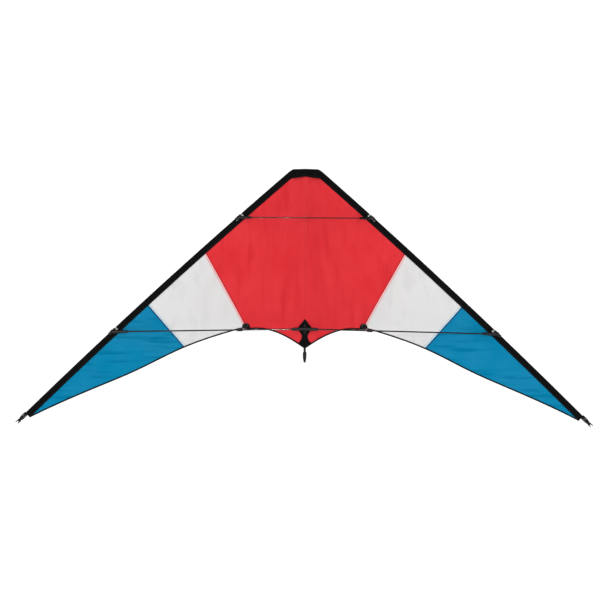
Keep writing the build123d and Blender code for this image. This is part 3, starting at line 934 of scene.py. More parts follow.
def seam_between(side, one, other):
    """The straight seam that two panels share, from the sleeve to the trailing edge."""
    a, b = OUTLINES[side, one], OUTLINES[side, other]
    shared = []
    for i in corners_of(a):
        nearest = b[np.argmin(np.hypot(*(b - a[i]).T))]
        if math.dist(nearest, a[i]) < SHARED_CORNER:
            shared.append((a[i] + nearest) / 2)
    shared.sort(key=lambda p: -p[1])
    ends = np.array([shared[0], shared[-1]])
    return spaced_run(ends, SEAM_STEP)


def flat_profile(far, lift):
    """A flat strip's profile from its run to a distance left of it."""
    return [(across, lift) for across in np.linspace(0, far, STRIP_COLUMNS)]


# Each seam: the panel towards the spine, the one towards the tip, the wide strip of doubled cloth as (far
# edge, look, slot), the fold, its colour darkened as painted shade, as (far edge, look, slot), and the
# thread. Distances are towards the tip.
SEAMS = {
    "inner_seam": ("red_panel", "white_panel", (5.8 * MM, PINK_SEAM, "white_ripstop"),
                   (-2.6 * MM, RED_FOLD, "red_ripstop"), RED_THREAD),
    "outer_seam": ("white_panel", "blue_panel", (-4.6 * MM, BLUE_SEAM, "white_ripstop"),
                   (3.4 * MM, BLUE_FOLD, "blue_ripstop"), DARK_THREAD),
}


def seam(side, name, inner, outer, doubled, fold, yarn):
    """Doubled cloth on one side of the seam, a folded edge on the other, and rows of stitches."""
    run = seam_between(side, inner, outer)
    for part, (far, look, slot_name) in (("strip", doubled), ("fold", fold)):
        for face, lift in (("front", -SEAM_LIFT), ("back", SEAM_LIFT)):
            strip_name = f"{side}_{name}_{face}_{part}"
            strip = tape(strip_name, side, run, flat_profile(far, lift), STRIP_THICKNESS)
            wing_piece(finish_with(strip, slot_name, look), side)
    across = (doubled[0] * STITCH_IN_STRIP, fold[0] * STITCH_IN_FOLD)
    rows = stitches_on_sail(side, run, across, (-THREAD_LIFT, THREAD_LIFT))
    sewn(f"{side}_{name}_stitches", side, rows, yarn, fold[2])


for side in SIDES:
    for name, (inner, outer, doubled, fold, yarn) in SEAMS.items():
        seam(side, name, inner, outer, doubled, fold, yarn)

# ---------------------------------------------------------------- trailing edge hem

HEM_WIDTH = 4.0 * MM
HEM_HALF = 0.5 * MM
HEM_CLOTH = 0.3 * MM
# the front half of the hem's section: (share of the width, share of the half thickness)
HEM_SECTION = [(1.0, -0.62), (0.93, -1.0), (0.55, -0.85), (0.25, -1.05), (0.06, -0.8)]
HEM_FOLD = (-0.04, 0.0)
HEM_STITCH = (0.7, 1.25)         # where the stitches lie, in the same shares


def hem_profile():
    """Tape folded round the edge, thicker at the fold."""
    back = [(across, -behind) for across, behind in reversed(HEM_SECTION)]
    return [(across * HEM_WIDTH, behind * HEM_HALF) for across, behind in [*HEM_SECTION, HEM_FOLD, *back]]


for side in SIDES:
    hem = tape(f"{side}_hem_tape", side, TRAILING_EDGE, hem_profile(), HEM_CLOTH)
    stands_for(hem, f"{side}_trailing_edge_hem")
    crease(hem, side)
    across, lift = HEM_STITCH[0] * HEM_WIDTH, HEM_STITCH[1] * HEM_HALF
    rows = stitches_on_sail(side, TRAILING_EDGE, (across,), (-lift, lift))
    sewn(f"{side}_hem_stitches", side, rows, GREY_THREAD, "hem_tape", crease)

# ---------------------------------------------------------------- leading edge sleeve

SLEEVE_R = 3.32 * MM             # of the cloth's middle, round the rod
SLEEVE_BAND = 0.42 * MM          # from the sail to each layer's middle, at the sewn band
SLEEVE_CLOTH = 0.34 * MM
SLEEVE_STEP = 5.0 * MM
SLEEVE_WAVE = 0.35 * MM          # between the rod and the band, where the cloth is slack
SLACK_START = (2.0 * MM, 7.0 * MM)
SLACK_END = 10.0 * MM
SLACK_SCALE = (38, 60)           # how often the slack changes per metre, along and across
FINE_SCALE = 110
SLEEVE_SWELL = 0.03              # of the radius
SWELL_SCALE = 25
SLEEVE_STITCH = 0.55             # of the cloth's thickness, outside its middle


def angles_of(points):
    """Where along the leading edge's arc some points are, given as rows of x, y, z."""
    return np.arctan2(points[:, 0] - ARC_X, points[:, 2] - ARC_Z)


SLEEVE_POINTS = cad_points("right_leading_edge_sleeve")
SLEEVE_START, SLEEVE_END = angles_of(SLEEVE_POINTS).min(), angles_of(SLEEVE_POINTS).max()
BAND_END = inwards_of(SLEEVE_POINTS[:, 0], SLEEVE_POINTS[:, 2]).max()

NOTCH_INWARDS = 7.0 * MM         # depth of the cut-outs in the front layer
NOTCH_BACK = 5.2 * MM            # and in the back layer, up to the barrel
NOTCH_ROOM = 0.8 * MM


def notches():
    """(start angle, end angle) of the cut-outs round each connector's barrel and its stop clip."""
    ends = []
    for level in ("upper", "lower"):
        points = cad_points(f"right_{level}_connector", f"right_{level}_stop_clip")
        angles = angles_of(points[points[:, 1] > EDGE_Y])
        ends.append((angles.min() - NOTCH_ROOM / ARC_R, angles.max() + NOTCH_ROOM / ARC_R))
    return ends


NOTCHES = notches()


SLEEVE_TURN = (70, 90, 110, 132, 156)   # degrees round the rod, from inwards


def sleeve_section():
    """(inwards, y from the rod's axis) from the front layer's edge, round the rod, to the back's edge."""
    front = [(BAND_END, -0.9 * SLEEVE_BAND), (BAND_END - 1.0 * MM, -SLEEVE_BAND),
             (12.5 * MM, -SLEEVE_BAND), (10.0 * MM, -1.7 * SLEEVE_BAND), (8.6 * MM, -1.25 * MM),
             (NOTCH_INWARDS, -1.8 * MM), (5.2 * MM, -2.35 * MM), (3.4 * MM, -2.85 * MM)]
    front += [(SLEEVE_R * math.cos(a), -SLEEVE_R * math.sin(a)) for a in np.radians(SLEEVE_TURN)]
    back = [(inwards, -y) for inwards, y in reversed(front)]
    return front + [(-SLEEVE_R, 0.0)] + back


def sleeve_point(angle, inwards, y, sign):
    """A point of the sleeve's cloth, with the band following the sail and a little slack."""
    start = edge_point(angle, SAIL_START)
    drop = (cone_y(start.x, start.z) - EDGE_Y) * float(fade(inwards, TUCK_START, SAIL_START))
    along = angle * ARC_R
    face = math.copysign(1.0, y) if y else 0.0
    slack = float(fade(inwards, *SLACK_START) * fade(inwards, BAND_END, SLACK_END))
    wave = wobble(along * SLACK_SCALE[0], face * 3.0 + sign, inwards * SLACK_SCALE[1])
    wave += 0.5 * wobble(along * FINE_SCALE, face * 5.0, sign)
    full = 1.0 + SLEEVE_SWELL * wobble(along * SWELL_SCALE, sign * 2.0, 9.0)
    point = edge_point(angle, inwards * (full if inwards < 0 else 1.0), y + drop)
    point.y += face * wave * SLEEVE_WAVE * slack
    return point


def sleeve_rows():
    """Where the sleeve's rows are, as angles of the arc, with a row at each end of each cut-out."""
    count = round((SLEEVE_END - SLEEVE_START) * ARC_R / SLEEVE_STEP)
    rows = list(np.linspace(SLEEVE_START, SLEEVE_END, count + 1))
    for ends in NOTCHES:
        for end in ends:
            rows[int(np.argmin(np.abs(np.array(rows) - end)))] = end
    return rows


def in_notch(angle):
    return any(start < angle < end for start, end in NOTCHES)


def leading_edge_sleeve(side):
    """The black cloth folded round the rod and sewn to the sail, without what the cut-outs take."""
    sign = SIDES[side]
    section, rows = sleeve_section(), sleeve_rows()
    over = distances_along(section)
    verts, uvs = [], []
    for angle in rows:
        for (inwards, y), v in zip(section, over):
            verts.append(sleeve_point(angle, inwards, y, sign))
            uvs.append(((angle - SLEEVE_START) * ARC_R, v))
    faces = []
    width = len(section)
    for face in grid_faces(len(rows), width):
        row, column = divmod(face[0], width)
        middle_row = (rows[row] + rows[row + 1]) / 2
        middle_inwards = (section[column][0] + section[column + 1][0]) / 2
        depth = NOTCH_INWARDS if section[column][1] < 0 else NOTCH_BACK
        if not (in_notch(middle_row) and middle_inwards < depth):
            faces.append(face)
    verts, faces = sided(sign, verts, faces)
    obj = thicken(link(f"{side}_edge_sleeve_cloth", verts, faces, uvs), SLEEVE_CLOTH)
    stands_for(obj, f"{side}_leading_edge_sleeve")
    wing_piece(obj, side)


BINDING_R = 0.55 * MM
BINDING_SIDES = 8
BINDING_STEPS = 8
SLEEVE_ROWS = (BAND_END - 1.4 * MM, 12.0 * MM)   # rows of stitches, inwards from the rod's axis


def notch_loop(start, end, sign):
    """The cut-out's edge as a closed run: round the sleeve at one end, along it, and back."""
    deep = [(inwards, y) for inwards, y in sleeve_section()
            if inwards <= (NOTCH_INWARDS if y < 0 else NOTCH_BACK) + 1e-6]
    there = [sleeve_point(start, inwards, y, sign) for inwards, y in deep]
    back = [sleeve_point(end, inwards, y, sign) for inwards, y in reversed(deep)]
    between = np.linspace(start, end, BINDING_STEPS)[1:-1]
    down = [sleeve_point(a, *deep[-1], sign) for a in between]
    up = [sleeve_point(a, *deep[0], sign) for a in reversed(between)]
    return there + down + back + up


def sleeve_row(inwards, y, sign):
    """(points, outward directions) of a line along the sleeve, past the cut-outs."""
    angles = np.linspace(SLEEVE_START, SLEEVE_END, round((SLEEVE_END - SLEEVE_START) * ARC_R / SLEEVE_STEP))
    points = [sleeve_point(a, inwards, y, sign) for a in angles]
    return points, [Vector((0, math.copysign(1.0, y), 0))] * len(points)


for side in SIDES:
    leading_edge_sleeve(side)
    loops = [notch_loop(start, end, SIDES[side]) for start, end in NOTCHES]
    tubes = [tube_along(loop + loop[:2], BINDING_R, BINDING_SIDES, cap=False) for loop in loops]
    verts, faces = sided(SIDES[side], *merge(tubes))
    binding = finish_with(link(f"{side}_sleeve_cutout_binding", verts, faces), "sleeve_cloth", BINDING)
    wing_piece(binding, side)
    rows = []
    for inwards in SLEEVE_ROWS:
        for face in (-1.0, 1.0):
            y = face * (SLEEVE_BAND + SLEEVE_CLOTH * SLEEVE_STITCH)
            rows.append(stitch_run(*sleeve_row(inwards, y, SIDES[side])))
    sewn(f"{side}_sleeve_stitches", side, rows, GREY_THREAD, "sleeve_cloth")

# ---------------------------------------------------------------- patches

PATCH_LIFT = 0.62 * MM           # from the sail's middle to the patch's
PATCH_CLOTH = 0.55 * MM
PATCH_SPACING = 2.2 * MM
PATCH_GAP = 6.5 * MM             # the CAD patch's edge beside the spine is nearer than this
PATCH_STITCH = 2.4 * MM
PATCH_STITCH_RISE = 0.6          # of the patch's thickness, outside its middle
RING_STEP = 1.5 * MM
CENTRE_STITCHES = 2.0 * MM       # each row's distance inside its patch's edge
DISC_STITCHES = (1.6 * MM, 4.2 * MM)


def curve_between(a, control, b, count=7):
    """Points of a curve from a to b that leans to a control point, without b."""
    a, control, b = (np.asarray(p, float) for p in (a, control, b))
    return [a * (1 - t) ** 2 + control * 2 * t * (1 - t) + b * t * t for t in np.linspace(0, 1, count)[:-1]]


HOLLOW = 0.42                    # how far a side leans in, as a share of its height


def hollow_sides(loop):
    """Rounds an outline in at its inward corner, as on an hourglass."""
    corners = [loop[i] for i in corners_of(loop)]
    area = sum(a[0] * b[1] - b[0] * a[1] for a, b in zip(corners, corners[1:] + corners[:1]))
    out, inward = [], []
    for i, c in enumerate(corners):
        a, b = corners[i - 1], corners[(i + 1) % len(corners)]
        turn = (c[0] - a[0]) * (b[1] - c[1]) - (c[1] - a[1]) * (b[0] - c[0])
        inward.append(turn * area < 0)
    for i, c in enumerate(corners):
        j = (i + 1) % len(corners)
        d = corners[j]
        if inward[i] or inward[j]:
            waist, end = (c, d) if inward[i] else (d, c)
            control = np.array([waist[0], waist[1] + (end[1] - waist[1]) * HOLLOW])
            out += curve_between(c, control, d)
        else:
            out += curve_between(c, (c + d) / 2, d, 4)
    return np.array(out)


def inset(loop, distance):
    """A closed run moved inwards by a distance, roughly."""
    nxt, before = np.roll(loop, -1, axis=0), np.roll(loop, 1, axis=0)
    ahead = nxt - before
    ahead /= np.linalg.norm(ahead, axis=1)[:, None]
    left = np.stack([-ahead[:, 1], ahead[:, 0]], axis=1)
    turned = (loop[:, 0] * nxt[:, 1] - nxt[:, 0] * loop[:, 1]).sum()
    return loop + left * math.copysign(distance, turned)


def patch(side, node, outline, place):
    """A patch sewn on the sail's front, within an outline."""
    name = f"{side}_{node}"
    obj = cloth_piece(f"{name}_cloth", side, outline, PATCH_SPACING, -PATCH_LIFT, PATCH_CLOTH)
    stands_for(obj, name)
    place(obj, side)


def patch_stitches(side, loop, distance, place, name):
    """Stitches round a patch, a little inside its edge, without its side at the spine."""
    ring = inset(even_loop(loop, RING_STEP), distance)
    ring = ring[ring[:, 0] > EDGE_NEAR]
    gaps = np.linalg.norm(np.diff(np.concatenate([ring, ring[:1]]), axis=0), axis=1)
    ring = np.roll(ring, -int(np.argmax(gaps)) - 1, axis=0)
    if gaps.max() < 2 * RING_STEP:
        ring = np.concatenate([ring, ring[:1]])
    points, outs = on_sail(ring, SIDES[side], -(PATCH_LIFT + PATCH_STITCH_RISE * PATCH_CLOTH))
    rows = [stitch_run(points, outs, pitch=PATCH_STITCH)]
    sewn(name, side, rows, GREY_THREAD, "patch_cloth", place)


for side in SIDES:
    outline = hollow_sides(reach_hem(meet_spine(mirrored_outline(side, "centre_patch"), PATCH_GAP)))
    patch(side, "centre_patch", outline, crease)
    patch_stitches(side, outline, CENTRE_STITCHES, crease, f"{side}_centre_patch_stitches")

    outline = mirrored_outline(side, "standoff_patch")
    patch(side, "standoff_patch", outline, wing_piece)
    for distance in DISC_STITCHES:
        name = f"{side}_standoff_patch_stitches_{round(distance / MM)}"
        patch_stitches(side, outline, distance, wing_piece, name)

# ---------------------------------------------------------------- nose webbing

WEBBING_CLOTH = 1.0 * MM
WEBBING_OVER = 0.75 * MM         # from what lies under it to the webbing's middle
NOSE_COLUMNS = 44
NOSE_ROWS = 16
FOLD_ROWS = 8
FOLD_R = 1.3 * MM                # on top
END_FOLD_R = 4.2 * MM            # round the rod's sleeve
END_REACH = 2.9 * MM             # the end wraps the sleeve, past the CAD strip
SHOULDER_REACH = 1.6 * MM
BY_SPINE = 2.0 * MM              # corners nearer to the middle than this are the spine's
NOSE_CORNER = 5.0 * MM           # how far from the shoulder its rounding starts
WEBBING_WAVE = 0.3 * MM
WEBBING_SAG = 0.25 * MM
WAVE_SCALE, SAG_SCALE = 60, 70   # how often they change, per metre
WEBBING_SLACK = 1.12             # of the height of what lies under it
ROD_TOP, SPINE_TOP = 1.0 * MM, 2.4 * MM   # half of the width over which the webbing lies full height
SPINE_BACK = 3.3 * MM            # behind the spine's axis
END_TURN = 0.007                 # of the edge's arc, in which the rod's bulge ends
THICK_FOLD = (0.62, 0.9)         # shares of the length between which the fold grows round the rod
CLOSE = (0.72, 1.0)              # shares of the height in which front and back close to the fold
WEBBING_BLUR = 3.0 * MM          # the stiff webbing evens out what lies under it
SHOULDER = 9.0 * MM              # how far from a rod the webbing comes down to the sail
ROD_SHOULDER, SPINE_SHOULDER = 1.5, 1.3   # how late it comes down: powers of the distance


def nose_edges():
    """The webbing's top edge and its lower edge, as open runs from the spine outwards."""
    loop = outline_of("right_nose_webbing")
    corners = np.array([loop[i] for i in corners_of(loop)])
    outer = corners[corners[:, 0] > BY_SPINE]
    outer = outer[np.argsort(outer[:, 1])]
    low, side_end, shoulder = outer[0], outer[1], outer[2]
    outwards = np.array(edge_point(SLEEVE_START, -1.0) - edge_point(SLEEVE_START, 0.0))[[0, 2]]
    side_end = side_end + outwards * END_REACH
    shoulder = shoulder + np.array([SHOULDER_REACH, 0.0])
    top = np.array([[0.0, NOSE_HIGH.z], shoulder, side_end])
    middle_z = corners[corners[:, 0] <= BY_SPINE][:, 1].min()
    bottom = np.array([[0.0, middle_z], low])
    return resample(rounded(top, NOSE_CORNER), NOSE_COLUMNS), resample(bottom, NOSE_COLUMNS)


def rounded(run, reach):
    """An open run of three points whose middle corner is rounded."""
    a, corner, b = run
    start = corner + (a - corner) / np.linalg.norm(a - corner) * reach
    end = corner + (b - corner) / np.linalg.norm(b - corner) * reach
    return np.array([a, *curve_between(start, corner, end), end, b])


def half_thickness(x, z, behind):
    """How far the sail, the rod in its sleeve, or the spine stands from the rod's plane."""
    inside = float(inwards_of(x, z))
    past_end = float(fade(math.atan2(x - ARC_X, z - ARC_Z), SLEEVE_START - END_TURN, SLEEVE_START))
    beside_rod = max(abs(inside) - ROD_TOP, 0) / SHOULDER
    rod = (SLEEVE_R + SLEEVE_CLOTH / 2) * max(0.0, 1 - beside_rod**ROD_SHOULDER)
    beside_spine = max(x - SPINE_TOP, 0) / SHOULDER
    spine = (SPINE_BACK - EDGE_Y) * max(0.0, 1 - beside_spine**SPINE_SHOULDER) if behind else 0.0
    return max(rod * past_end, spine)


def webbing_y(x, z, face):
    """y of the webbing's middle over what lies under it; face is -1 in front and 1 behind."""
    total = 0.0
    offsets = (-WEBBING_BLUR, 0.0, WEBBING_BLUR)
    for dx in offsets:
        for dz in offsets:
            total += half_thickness(abs(x + dx), z + dz, face > 0)
    return EDGE_Y + face * (total / len(offsets) ** 2 * WEBBING_SLACK + WEBBING_OVER)


def webbing_wave(x, z, face, sign):
    return WEBBING_WAVE * wobble(x * WAVE_SCALE, z * WAVE_SCALE, face * 2.0 + sign)


def nose_webbing(side):
    """A strip folded over the top of the nose: up the front, over the fold, and down the back."""
    sign = SIDES[side]
    top, bottom = nose_edges()
    verts, uvs = [], []
    for i in range(NOSE_COLUMNS):
        (tx, tz), (bx, bz) = top[i], bottom[i]
        sag = WEBBING_SAG * wobble(tx * SAG_SCALE, sign, 2.0)
        share = float(fade(i / (NOSE_COLUMNS - 1), *THICK_FOLD))
        fold_r = FOLD_R + (END_FOLD_R - FOLD_R) * share
        up = Vector((tx - bx, 0, tz - bz)).normalized()
        ridge = Vector((tx, EDGE_Y, tz)) - up * fold_r
        rows = []
        for face in (-1, 1):
            side_rows = []
            for j in range(NOSE_ROWS):
                t = j / (NOSE_ROWS - 1)
                x, z = bx + (ridge.x - bx) * t, bz + (ridge.z - bz) * t
                close = float(fade(t, *CLOSE))
                y = webbing_y(x, z, face) + webbing_wave(x, z, face, sign) + sag
                y = y * (1 - close) + (EDGE_Y + face * fold_r) * close
                side_rows.append(Vector((x, y, z)))
            rows.append(side_rows)
        fold = []
        for j in range(1, FOLD_ROWS):
            a = math.pi * j / FOLD_ROWS
            fold.append(ridge + up * (fold_r * math.sin(a)) + Vector((0, -fold_r * math.cos(a), 0)))
        column = rows[0] + fold + rows[1][::-1]
        verts += column
        uvs += [(tx, over) for over in distances_along(column)]
    count = len(column)
    for v in verts[:count]:
        v.x = 0.0
    verts, faces = sided(sign, verts, grid_faces(NOSE_COLUMNS, count))
    obj = thicken(link(f"{side}_nose_webbing_cloth", verts, faces, uvs), WEBBING_CLOTH)
    stands_for(obj, f"{side}_nose_webbing")
    crease(obj, side)
    return top, bottom


# the box stitch's rows, as (start, end, points) with places in shares of the webbing's (length, height)
BOX_ROWS = [((0.04, 0.12), (0.94, 0.12), 30), ((0.94, 0.12), (0.94, 0.72), 10),
            ((0.55, 0.12), (0.55, 0.72), 10), ((0.55, 0.72), (0.94, 0.72), 14)]
BOX_PITCH = 2.6 * MM
BOX_LIFT = 0.62 * WEBBING_CLOTH


def box_stitch(side, top, bottom):
    """Rows of stitches on the webbing: along its lower edge, down its end and up beside the rod."""
    parts = []
    for face in (-1, 1):
        for start, end, count in BOX_ROWS:
            points = []
            for u, t in np.linspace(start, end, count):
                i = int(u * (NOSE_COLUMNS - 1))
                x, z = bottom[i] + (top[i] - bottom[i]) * t
                y = webbing_y(x, z, face) + webbing_wave(x, z, face, SIDES[side])
                points.append(Vector((x, y + face * BOX_LIFT, z)))
            parts.append(stitch_run(points, [Vector((0, face, 0))] * count, pitch=BOX_PITCH))
    sewn(f"{side}_nose_stitches", side, parts, GREY_THREAD, "nose_webbing", crease)


for side in SIDES:
    box_stitch(side, *nose_webbing(side))

# ---------------------------------------------------------------- spine pocket

POCKET_R = 2.95 * MM
POCKET_CLOTH = 0.3 * MM
POCKET_FOOT = 4.5 * MM           # the sewn flange reaches this far from the spine
POCKET_SEAM = 1.2 * MM           # from the pocket's side out to where it is sewn down
POCKET_SIDE = 0.1 * MM           # its side outside its radius, and how far in front of the spine's axis
POCKET_FRONT = 1.2 * MM
POCKET_STEP = 6.0 * MM
POCKET_TURN = (-10, 15, 40, 65, 90)     # degrees round the spine, from the side to the back
POCKET_SWELL = 0.18 * MM
SWELL_ACROSS, SWELL_ALONG = 50, 35      # how often it changes, per metre


def pocket_section(z):
    """Half of the pocket across the spine, from the flange to the top of the fold behind the spine."""
    spine_y = middle_y("spine_rod")
    lift = CLOTH_THICKNESS + POCKET_CLOTH / 2
    section = [(x, cone_y(x, z) + lift) for x in (POCKET_FOOT, POCKET_R + POCKET_SEAM)]
    side_y = max(cone_y(POCKET_R, z) + 2 * lift, spine_y - POCKET_FRONT)
    section.append((POCKET_R + POCKET_SIDE, side_y))
    around = np.radians(POCKET_TURN)
    return section + [(POCKET_R * math.cos(a), spine_y + POCKET_R * math.sin(a)) for a in around]


def spine_pocket(name, node):
    """The long pocket on the sail's back that holds the spine."""
    low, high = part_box(node)
    rows = np.append(np.arange(low.z, high.z, POCKET_STEP), high.z)
    verts, uvs = [], []
    for z in rows:
        half = pocket_section(z)
        whole = half + [(-x, y) for x, y in half[:-1]][::-1]
        for (x, y), over in zip(whole, distances_along(whole)):
            swell = POCKET_SWELL * wobble(x * SWELL_ACROSS, z * SWELL_ALONG, 4.0)
            verts.append(Vector((x, y + swell, z)))
            uvs.append((over, z))
    obj = thicken(link(name, verts, grid_faces(len(rows), len(whole)), uvs), POCKET_CLOTH)
    stands_for(obj, node)
    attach(obj, "centre")


spine_pocket("spine_pocket_upper", "spine_sleeve_upper")
spine_pocket("spine_pocket_lower", "spine_sleeve_lower")

# ---------------------------------------------------------------- elastic cords

TIP_ANGLE = SLEEVE_END
CORD_R = 1.5 * MM
TAIL_CORD_R = 0.85 * MM
CORD_STEP = 0.45 * MM
CURVE_STEPS = 11


def tip_place(inwards, y, beyond):
    """A point by the right tip: inwards across the wing, y behind the rod, and beyond the sleeve's end."""
    along = Vector((math.cos(TIP_ANGLE), 0, -math.sin(TIP_ANGLE)))
    return edge_point(TIP_ANGLE, inwards, y) + along * beyond


def smooth_run(points):
    """A smooth line through a few points, at about even steps."""
    points = [np.asarray(p, float) for p in points]
    padded = [2 * points[0] - points[1], *points, 2 * points[-1] - points[-2]]
    line = []
    for a, b, c, d in zip(padded, padded[1:], padded[2:], padded[3:]):
        for t in np.arange(CURVE_STEPS) / CURVE_STEPS:
            line.append(0.5 * (2 * b + (c - a) * t + (2 * a - 5 * b + 4 * c - d) * t**2
                               + (3 * b - a - 3 * c + d) * t**3))
    line.append(points[-1])
    return [Vector(p) for p in resample(line, max(4, round(run_length(line) / CORD_STEP)))]


BRAID_SIDES = 14
BRAID_PITCH = 0.55 * MM
BRAID_DEPTH = 0.07               # of the cord's radius
BRAID_LOBES = 4                  # round the cord


def braided(runs, radius):
    """(verts, faces, uvs) of cords whose surface has the small lobes of a braid."""
    parts, uvs = [], []
    for points in runs:
        verts, faces = tube_along(points, radius, BRAID_SIDES)
        for i, (p, along) in enumerate(zip(points, distances_along(points))):
            for j, a in enumerate(angles_round(BRAID_SIDES), i * BRAID_SIDES):
                turned, run = BRAID_LOBES * a, along / BRAID_PITCH
                lobes = math.sin(turned + run) * math.sin(turned - run)
                verts[j] = p + (verts[j] - p) * (1 + BRAID_DEPTH * lobes)
                uvs.append((along, a * radius))
        parts.append((verts, faces))
    return *merge(parts), uvs


KNOT_SIZE = 1.5 * MM
KNOT_BEYOND = 27.0 * MM          # from the sleeve's end
KNOT_ASIDE = 0.6 * MM
KNOT_STEPS = 72
KNOT_DEPTH = 1.25                # how far the knot's strands pass each other, in knot sizes


def knot(centre, across, up, through):
    """An overhand knot pulled tight: a trefoil round the cord's own line."""
    run = []
    for t in np.linspace(0, 2 * math.pi, KNOT_STEPS + 1):
        a = math.sin(t) + 2 * math.sin(2 * t)
        b = math.cos(t) - 2 * math.cos(2 * t)
        c = -KNOT_DEPTH * math.sin(3 * t)
        run.append(centre + (across * a + up * b + through * c) * KNOT_SIZE)
    return run


ROD_R = 2.0 * MM
WRAP_TURNS = 2.0
WRAP_STEPS = 60
# each wrap round the spar's end: (start beyond the sleeve, length, radius of the cord's line)
WRAPS = [(0.6 * MM, 4.2 * MM, ROD_R + CORD_R), (18.2 * MM, 4.0 * MM, 3.9 * MM)]
# one leg's line, in mm: (to its own side, behind the rod's axis, beyond the sleeve's end)
LEG = [(4.6, -0.6, -1.5), (5.0, 0.4, 6.0), (4.9, 0.2, 14.0), (3.6, 0.0, 21.0), (1.2, 0.0, 27.0)]
# each tail's end in mm: (to its side, behind the rod's axis, beyond the knot)
TAILS = [(3.6, 1.2, 10.5), (-3.9, -1.6, 11.5)]
# each tail's line as shares of its end's places to the side and behind, with where each is beyond the
# knot: the first two in mm, the third as a share
TAIL_LINE = [(0.3, 0.0), (0.75, 0.5), (0.9, 0.8), (1.0, 1.0)]
TAIL_START, TAIL_BEND = (1.0, 4.0), 0.75


def wrap(start, length, radius):
    """Turns of cord round the right spar's end, from a distance beyond the sleeve's end."""
    run = []
    for share in np.linspace(0, 1, WRAP_STEPS + 1):
        a = 2 * math.pi * WRAP_TURNS * share
        run.append(tip_place(radius * math.cos(a), radius * math.sin(a), start + length * share))
    return run


def tip_cord(side):
    """The elastic that holds the sail's tip: two legs past the nock, a knot, and two tails."""
    legs = []
    for lean in (-1, 1):
        places = [tip_place(lean * aside * MM, y * MM, beyond * MM) for aside, y, beyond in LEG]
        legs.append(smooth_run(places))
    across = edge_point(TIP_ANGLE, 1.0) - edge_point(TIP_ANGLE, 0.0)
    along = tip_place(0, 0, 1.0) - tip_place(0, 0, 0.0)
    centre = tip_place(KNOT_ASIDE, 0, KNOT_BEYOND)
    legs.append(knot(centre, across.normalized(), along.normalized(), Vector((0, 1, 0))))
    for aside, behind, reach in TAILS:
        beyonds = (*TAIL_START, TAIL_BEND * reach, reach)
        places = [tip_place(share * aside * MM, lift * behind * MM, KNOT_BEYOND + beyond * MM)
                  for (share, lift), beyond in zip(TAIL_LINE, beyonds)]
        legs.append(smooth_run(places))
    legs += [wrap(*place) for place in WRAPS]
    verts, faces, uvs = braided(legs, CORD_R)
    verts, faces = sided(SIDES[side], verts, faces)
    obj = link(f"{side}_tip_elastic", verts, faces, uvs)
    wing_piece(stands_for(obj, f"{side}_tip_tension_cord"), side)


TAIL_TURNS = 2.5
TAIL_STEPS = 100
TAIL_PITCH = 1.84                # of the cord's radius, from one turn to the next
# the start of each leg in mm: (to its side, y, above the turns' lowest point), and its end above the hem
TAIL_LEG = [(2.9, -1.2, 2.0), (2.6, -2.6, 5.0)]
TAIL_LEG_END = (2.2, -4.0, 4.0)


def tail_cord():
    """Elastic wound round the spine above the tail nock, with two legs up to the sail's point."""
    low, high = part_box("tail_tension_cord")
    middle = (low + high) / 2
    reach = (high.x - low.x) / 2 - TAIL_CORD_R
    turns = []
    for turned in np.linspace(0, TAIL_TURNS, TAIL_STEPS + 1):
        a = 2 * math.pi * turned
        z = low.z + TAIL_CORD_R * (1 + TAIL_PITCH * turned)
        turns.append(Vector((reach * math.cos(a), middle.y + reach * math.sin(a), z)))
    places = [(aside, y, low.z + above * MM) for aside, y, above in TAIL_LEG]
    places.append((*TAIL_LEG_END[:2], TRAILING_EDGE[0, 1] + TAIL_LEG_END[2] * MM))
    runs = [turns]
    for side in (-1, 1):
        runs.append(smooth_run([Vector((side * aside * MM, y * MM, z)) for aside, y, z in places]))
    verts, faces, uvs = braided(runs, TAIL_CORD_R)
    obj = stands_for(link("tail_elastic", verts, faces, uvs), "tail_tension_cord", TAIL_CORD)
    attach(obj, "centre")


for side in SIDES:
    tip_cord(side)
tail_cord()

# ---------------------------------------------------------------- standoff washers

# the ring's section in mm: (radius, height above the patch)
WASHER = [(3.9, 0.0), (3.9, 0.55), (4.3, 0.8), (5.5, 0.75), (6.1, 0.35), (6.2, 0.0)]
WASHER_STEPS = 40


def washer(side):
    """The plastic ring on the patch, round the standoff's end."""
    sign = SIDES[side]
    outline = mirrored_outline(side, "standoff_patch")
    x, z = (outline.min(0) + outline.max(0)) / 2
    base = sail_point(x, z, sign, -(PATCH_LIFT + PATCH_CLOTH / 2))
    out = (base - sail_point(x, z, sign)).normalized()
    across = out.cross(Vector((0, 0, 1))).normalized()
    up = across.cross(out)
    verts = []
    for a in angles_round(WASHER_STEPS):
        for radius, height in WASHER:
            verts.append(base + (across * math.cos(a) + up * math.sin(a)) * radius * MM + out * height * MM)
    faces = grid_faces(WASHER_STEPS, len(WASHER), close_rows=True, close_columns=True)
    ring = link(f"{side}_standoff_washer", *sided(sign, verts, faces))
    wing_piece(finish_with(ring, "grey_clip", GREY_RING), side)


for side in SIDES:
    washer(side)

# ---------------------------------------------------------------- moulded fittings

FITTING_VOXEL = 0.5 * MM
FITTING_SMOOTH = 4               # passes, each half way to the neighbours' mean
FITTING_KEEP = 0.5               # of the triangles


